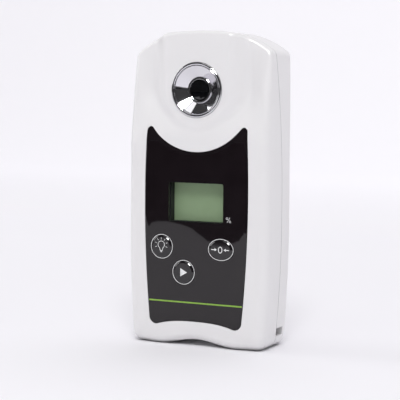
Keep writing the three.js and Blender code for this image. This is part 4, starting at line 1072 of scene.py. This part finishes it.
INK = 0.02
KEY_BRIM, KEY_SLOPE = 0.32, 0.86
KEY_SINK, KEY_CROWN = 0.1, 0.02
# The key's profile is sampled closely on its slope
KEY_SHARES = [0, 0.25, 0.5, *np.linspace(0.71, 0.945, 16), 0.985, 1.0]


def dome_y(share):
    """The face of a key: a flat brim just under the panel's face, a soft slope and a crowned top."""
    share = min(share, 1.0)
    inward = KEY_HALVES["light"][0] * (1 - share)
    rise = (TRIM_RISE - INK - KEY_CROWN + KEY_SINK) * smooth_step((inward - KEY_BRIM) / KEY_SLOPE)
    return float(FRONT_Y + KEY_SINK - rise - KEY_CROWN * (1 - share ** 2))


def key_cap(key):
    back = node_box(f"{key}_button")[1][1]
    profile = [(share, dome_y(share)) for share in KEY_SHARES] + [(1.0, back), (0, back)]
    cap = key_solid(f"{key}_cap", key, 0, profile)
    flange = key_solid("flange", key, KEY_FLANGE, plug(FRONT_Y + FACE_WALL + FIT, back), PLAIN_SIDES)
    combine(cap, [flange], "UNION")
    hand_over(cap, "key_dome", f"{key}_key", f"{key}_button")


# Printing: closed films of ink on the keys and the panel

SIGN_LINE, THIN_LINE, RING_LINE, SMALL_LINE = 0.3, 0.2, 0.21, 0.16


def film(name, spots, faces, ink):
    """A film of ink that stands INK above and below its spots, from faces that look to the front."""
    ends = [[(x, y + lift, z) for x, y, z in spots] for lift in (-INK, INK)]
    return thick(name, *ends, faces, ink)


def on_dome(name, key, points, faces):
    """Prints a flat sign, in millimetres from the key's middle, on the key's dome."""
    x0, _, z0 = node_middle(f"{key}_switch")
    half = KEY_HALVES[key]
    spots = [(x0 + x, dome_y(math.hypot(x / half[0], z / half[1])), z0 + z) for x, z in points]
    hand_over(film(name, spots, faces, white_ink), "key_dome", f"{key}_key")


def on_panel(name, x0, z0, points, faces, ink):
    """Prints a flat sign, in millimetres from a place on it, on the panel."""
    spots = [(x0 + x, FRONT_Y, z0 + z) for x, z in points]
    hand_over(film(name, spots, faces, ink), "panel_acrylic", "housing")


def stroke(path, width, closed=False):
    """A flat ribbon of a given width along a path."""
    path = np.array(path, float)
    if closed:
        ahead, behind = np.roll(path, -1, axis=0), np.roll(path, 1, axis=0)
    else:
        ahead, behind = np.vstack([path[1:], path[-1:]]), np.vstack([path[:1], path[:-1]])
    run = ahead - behind
    run /= np.linalg.norm(run, axis=1)[:, None]
    side = np.stack([-run[:, 1], run[:, 0]], axis=1) * width / 2
    points = np.concatenate([path + side, path - side])
    count = len(path)
    faces = []
    for i in range(count if closed else count - 1):
        j = (i + 1) % count
        faces.append([i, i + count, j + count, j])
    return points.tolist(), faces


def gather(*shapes):
    points, faces = [], []
    for shape_points, shape_faces in shapes:
        faces += [[i + len(points) for i in face] for face in shape_faces]
        points += [tuple(point) for point in shape_points]
    return points, faces


def arc(x, z, radii, start, end, steps):
    """Points along a part of an ellipse, between two angles in degrees."""
    angles = np.radians(np.linspace(start, end, steps + 1))
    return [(x + radii[0] * math.cos(a), z + radii[1] * math.sin(a)) for a in angles]


def loop(x, z, radii, steps, width):
    return stroke(arc(x, z, radii, 0, 360, steps)[:-1], width, closed=True)


STRIPE_Z, STRIPE_HALF, STRIPE_MARGIN = 16.9, 0.29, 0.35


def green_stripe():
    half = float(panel_outline().side_x(np.array(STRIPE_Z))) - STRIPE_MARGIN
    points = [(-half, -STRIPE_HALF), (half, -STRIPE_HALF), (half, STRIPE_HALF), (-half, STRIPE_HALF)]
    on_panel("green_stripe", 0, STRIPE_Z, points, [[0, 1, 2, 3]], green_ink)


RING_SHARE = 0.965


def key_rings():
    for key, half in KEY_HALVES.items():
        radii = (half[0] * RING_SHARE, half[1] * RING_SHARE)
        on_dome(f"{key}_key_ring", key, *loop(0, 0, radii, 96, RING_LINE))


BULB_RADIUS, BULB_Z = 1.4, 0.7
BULB_NECK = [(0.55, -0.95), (0.5, -1.5)]
BULB_CAP = [(0.5, -1.62), (0.4, -2.1)]
RAY_SIZES = {
    "Ray Middle": 2.42, "Ray Length": 0.8, "Ray Width": 0.15, "Ray Depth": 2 * INK, "Rays": 7,
    "First Angle": math.radians(-20), "Sweep": math.radians(220)}
IN_METRES = ("Ray Middle", "Ray Length", "Ray Width", "Ray Depth")


def light_sign():
    """A bulb with its cap."""
    globe = arc(0, BULB_Z, (BULB_RADIUS, BULB_RADIUS), -55, 235, 28)
    outline = [*BULB_NECK[::-1], *globe, *[(-x, z) for x, z in BULB_NECK]]
    lines = [stroke([(-half, z), (half, z)], SIGN_LINE) for half, z in BULB_CAP]
    on_dome("light_key_sign", "light", *gather(stroke(outline, THIN_LINE), *lines))


def light_rays():
    """Short rays spread round the bulb, each a thin bar."""
    tree, sizes, leave = node_tree("ray_ring", RAY_SIZES)
    curve = add(
        tree, "GeometryNodeCurveArc", {"mode": "RADIUS"}, Resolution=64, Radius=sizes["Ray Middle"],
        Start_Angle=sizes["First Angle"], Sweep_Angle=sizes["Sweep"]).outputs["Curve"]
    points = add(
        tree, "GeometryNodeCurveToPoints", {"mode": "COUNT"}, Curve=curve,
        Count=sizes["Rays"]).outputs["Points"]
    size = vector(tree, X=sizes["Ray Length"], Y=sizes["Ray Depth"], Z=sizes["Ray Width"])
    bar = add(tree, "GeometryNodeMeshCube", Size=size).outputs["Mesh"]
    # The arc lies in X-Y. Each point keeps its angle there, and then goes to the same place in X-Z.
    place = add(tree, "GeometryNodeInputPosition").outputs["Position"]
    parts = add(tree, "ShaderNodeSeparateXYZ", Vector=place).outputs
    turn = reckon(tree, "MULTIPLY", reckon(tree, "ARCTAN2", parts["Y"], parts["X"]), -1.0)
    kept = add(tree, "GeometryNodeCaptureAttribute", Geometry=points)
    kept.capture_items.new("FLOAT", "Turn")
    tree.links.new(turn, kept.inputs["Turn"])
    upright = add(
        tree, "GeometryNodeSetPosition", Geometry=kept.outputs["Geometry"],
        Position=vector(tree, X=parts["X"], Z=parts["Y"])).outputs["Geometry"]
    bars = add(
        tree, "GeometryNodeInstanceOnPoints", Points=upright, Instance=bar,
        Rotation=vector(tree, Y=kept.outputs["Turn"])).outputs["Instances"]
    x, _, z = node_middle("light_switch")
    middle = [c * MM for c in (x, dome_y(0.5), z + BULB_Z)]
    moved = add(tree, "GeometryNodeTransform", Geometry=bars, Translation=middle).outputs["Geometry"]
    finish_tree(tree, leave, moved, white_ink)
    sizes_in = {label: size * MM if label in IN_METRES else size for label, size in RAY_SIZES.items()}
    hand_over(grown("light_key_rays", tree, sizes_in), "key_dome", "light_key")


POINTER = [(-1.15, -1.6), (1.75, 0.0), (-1.15, 1.6)]


def start_sign():
    """A plain pointer to the right, the common sign for start."""
    on_dome("start_key_sign", "start", POINTER, [[0, 1, 2]])


NOUGHT_RADII = (0.759, 1.15)
ARROW_TAIL, ARROW_NECK, ARROW_TIP, ARROW_BARB, ARROW_HALF = 3.7, 1.9, 1.45, 2.35, 0.62


def zero_sign():
    """Two arrows that meet at a nought, the common sign for setting to zero."""
    shapes = [loop(0, 0, NOUGHT_RADII, 40, SIGN_LINE)]
    for side in (-1, 1):
        shapes.append(stroke([(side * ARROW_TAIL, 0), (side * ARROW_NECK, 0)], SIGN_LINE))
        head = [(side * ARROW_TIP, 0), (side * ARROW_BARB, ARROW_HALF), (side * ARROW_BARB, -ARROW_HALF)]
        shapes.append((head, [[0, 1, 2] if side < 0 else [0, 2, 1]]))
    on_dome("zero_key_sign", "zero", *gather(*shapes))


PERCENT_X, PERCENT_Z = 13.9, 49.5
PERCENT_RING, PERCENT_RING_AWAY = (0.36, 0.36), (0.62, -0.58)
PERCENT_BAR = [(-0.6, -1.0), (0.6, 1.0)]


def percent_sign():
    """A plain percent sign beside the display."""
    x, z = PERCENT_RING_AWAY
    rings = [loop(side * x, side * z, PERCENT_RING, 24, SMALL_LINE) for side in (-1, 1)]
    sign = gather(*rings, stroke(PERCENT_BAR, SMALL_LINE))
    on_panel("percent_sign", PERCENT_X, PERCENT_Z, *sign, white_ink)


# Stage and light

SWEEP_HALF_WIDTH, SWEEP_NEAR, SWEEP_FAR, SWEEP_BEND, SWEEP_TOP = 2600.0, -2600.0, 1100.0, 500.0, 2400.0
SWEEP_UNDER_FEET = 0.02
BEND_STEPS = 16
SWEEP_GLOW, SWEEP_GLOW_REACH = 0.3, 1.0
# What the glossy face mirrors ahead of it: the lit table ends along a wavy line, and the room beyond is dark.
# The line's points on the table are given from left to right.
TABLE_END = [
    (-600, -330), (-300, -400), (-243, -428), (-254, -452), (-256, -466), (-249, -468), (-234, -456),
    (-218, -440), (-205, -424), (-193, -405), (-170, -371), (-158, -352), (-146, -347), (-138, -350),
    (-141, -366), (-153, -398), (-150, -420), (60, -420), (600, -420)]
ROOM_DEPTH = 2500.0
SHEET_HEIGHT = 0.5
WORLD_SOFT, WORLD_GLOSSY = 0.68, 0.06
# Each light's place, the point that it faces, its two sizes, in metres, and its power
LIGHTS = {
    "front_top_box": ((0.29, -0.63, 0.80), (0, 0, 0.08), (0.27, 0.3), 3.6),
    "upper_box": ((-0.06, -0.5, 0.95), (0, 0, 0.08), (0.34, 0.34), 0.45),
    "left_box": ((-0.94, -0.12, 0.46), (0, 0, 0.07), (0.4, 0.5), 2.0),
    "glint": ((0.26, -0.6, 0.78), (0, 0, 0.06), (0.27, 0.24), 7.0),
    "overhead": ((0.1, 0.35, 1.1), (0, 0, 0.05), (1.0, 0.9), 1.0),
}


def sweep():
    """A pale floor that curves up into a pale wall far behind the object, and glows more towards the back."""
    material, tree, shader, place = new_material("pale_sweep", "#edecf0", 0.9)
    back = add(tree, "ShaderNodeSeparateXYZ", Vector=place).outputs["Y"]
    glow = add(
        tree, "ShaderNodeMapRange", Value=back, From_Min=0.0, From_Max=SWEEP_GLOW_REACH, To_Min=0.0,
        To_Max=SWEEP_GLOW)
    shader.inputs["Emission Color"].default_value = srgb("#f8f7fb")
    tree.links.new(glow.outputs["Result"], shader.inputs["Emission Strength"])
    profile = [(SWEEP_NEAR, 0.0), (0.0, 0.0), (SWEEP_FAR, 0.0)]
    for angle in np.linspace(0, math.pi / 2, BEND_STEPS + 1)[1:]:
        profile.append((SWEEP_FAR + SWEEP_BEND * math.sin(angle), SWEEP_BEND * (1 - math.cos(angle))))
    profile.append((SWEEP_FAR + SWEEP_BEND, SWEEP_TOP))
    sides = (-SWEEP_HALF_WIDTH, SWEEP_HALF_WIDTH)
    points = [(x, y, z - SWEEP_UNDER_FEET) for y, z in profile for x in sides]
    faces = [[2 * i, 2 * i + 1, 2 * i + 3, 2 * i + 2] for i in range(len(profile) - 1)]
    return make_object("sweep", points, faces, material, 60)


def dark_sheet():
    """The dark room beyond the table, a flat sheet that only reflections see."""
    material = new_material("dark_sheet", "#0a0a0b", 0.9)[0]
    outline = TABLE_END + [(ROOM_DEPTH, -ROOM_DEPTH), (-ROOM_DEPTH, -ROOM_DEPTH)]
    points = [(x, y, SHEET_HEIGHT) for x, y in outline]
    sheet = make_object("dark_sheet", points, [list(range(len(outline)))], material)
    sheet.visible_camera = False
    sheet.visible_diffuse = False
    sheet.visible_shadow = False
    return sheet


def world():
    """Pale all round for the eye and for soft light, and a dark room for reflections."""
    scene_world = bpy.data.worlds.new("studio")
    scene_world.use_nodes = True
    tree = scene_world.node_tree
    background = tree.nodes["Background"]
    background.inputs["Color"].default_value = srgb("#f6f5f6")
    strength = add(
        tree, "ShaderNodeMapRange", Value=add(tree, "ShaderNodeLightPath").outputs["Is Glossy Ray"],
        To_Min=WORLD_SOFT, To_Max=WORLD_GLOSSY)
    tree.links.new(strength.outputs["Result"], background.inputs["Strength"])
    bpy.context.scene.world = scene_world


def area_light(name, place, target, size, power):
    data = bpy.data.lights.new(name, "AREA")
    data.shape = "RECTANGLE"
    data.size, data.size_y = size
    data.energy = power
    light = bpy.data.objects.new(name, data)
    place, target = np.array(place, float), np.array(target, float)
    back = (place - target) / np.linalg.norm(place - target)
    right = np.cross((0, 0, 1), back)
    right /= np.linalg.norm(right)
    light.matrix_world = frame_matrix(right, np.cross(back, right), back, place)
    bpy.context.scene.collection.objects.link(light)
    return light


# Everything

def finish_frame_nodes():
    """Gives every frame node the finish of its slot, and the display's tunnel a darker one."""
    for entry in frame["record"]["subparts"]:
        node = nodes[entry["node"]]
        node.data.materials.clear()
        node.data.materials.append(finishes[entry["material_slot"]])
    nodes["lcd_frame"].data.materials[0] = tunnel_dark


add_camera()
finish_frame_nodes()
front_cover()
rear_cover()
seal_lip()
screws()
control_panel()
green_stripe()
sample_well()
prism_face()
for key_name in KEY_HALVES:
    key_cap(key_name)
key_rings()
light_sign()
light_rays()
start_sign()
zero_sign()
percent_sign()
sweep()
dark_sheet()
world()
for light_name, values in LIGHTS.items():
    light = area_light(light_name, *values)
    # The glint is there for reflections alone
    light.visible_diffuse = light_name != "glint"
bpy.context.scene.view_settings.view_transform = "Standard"
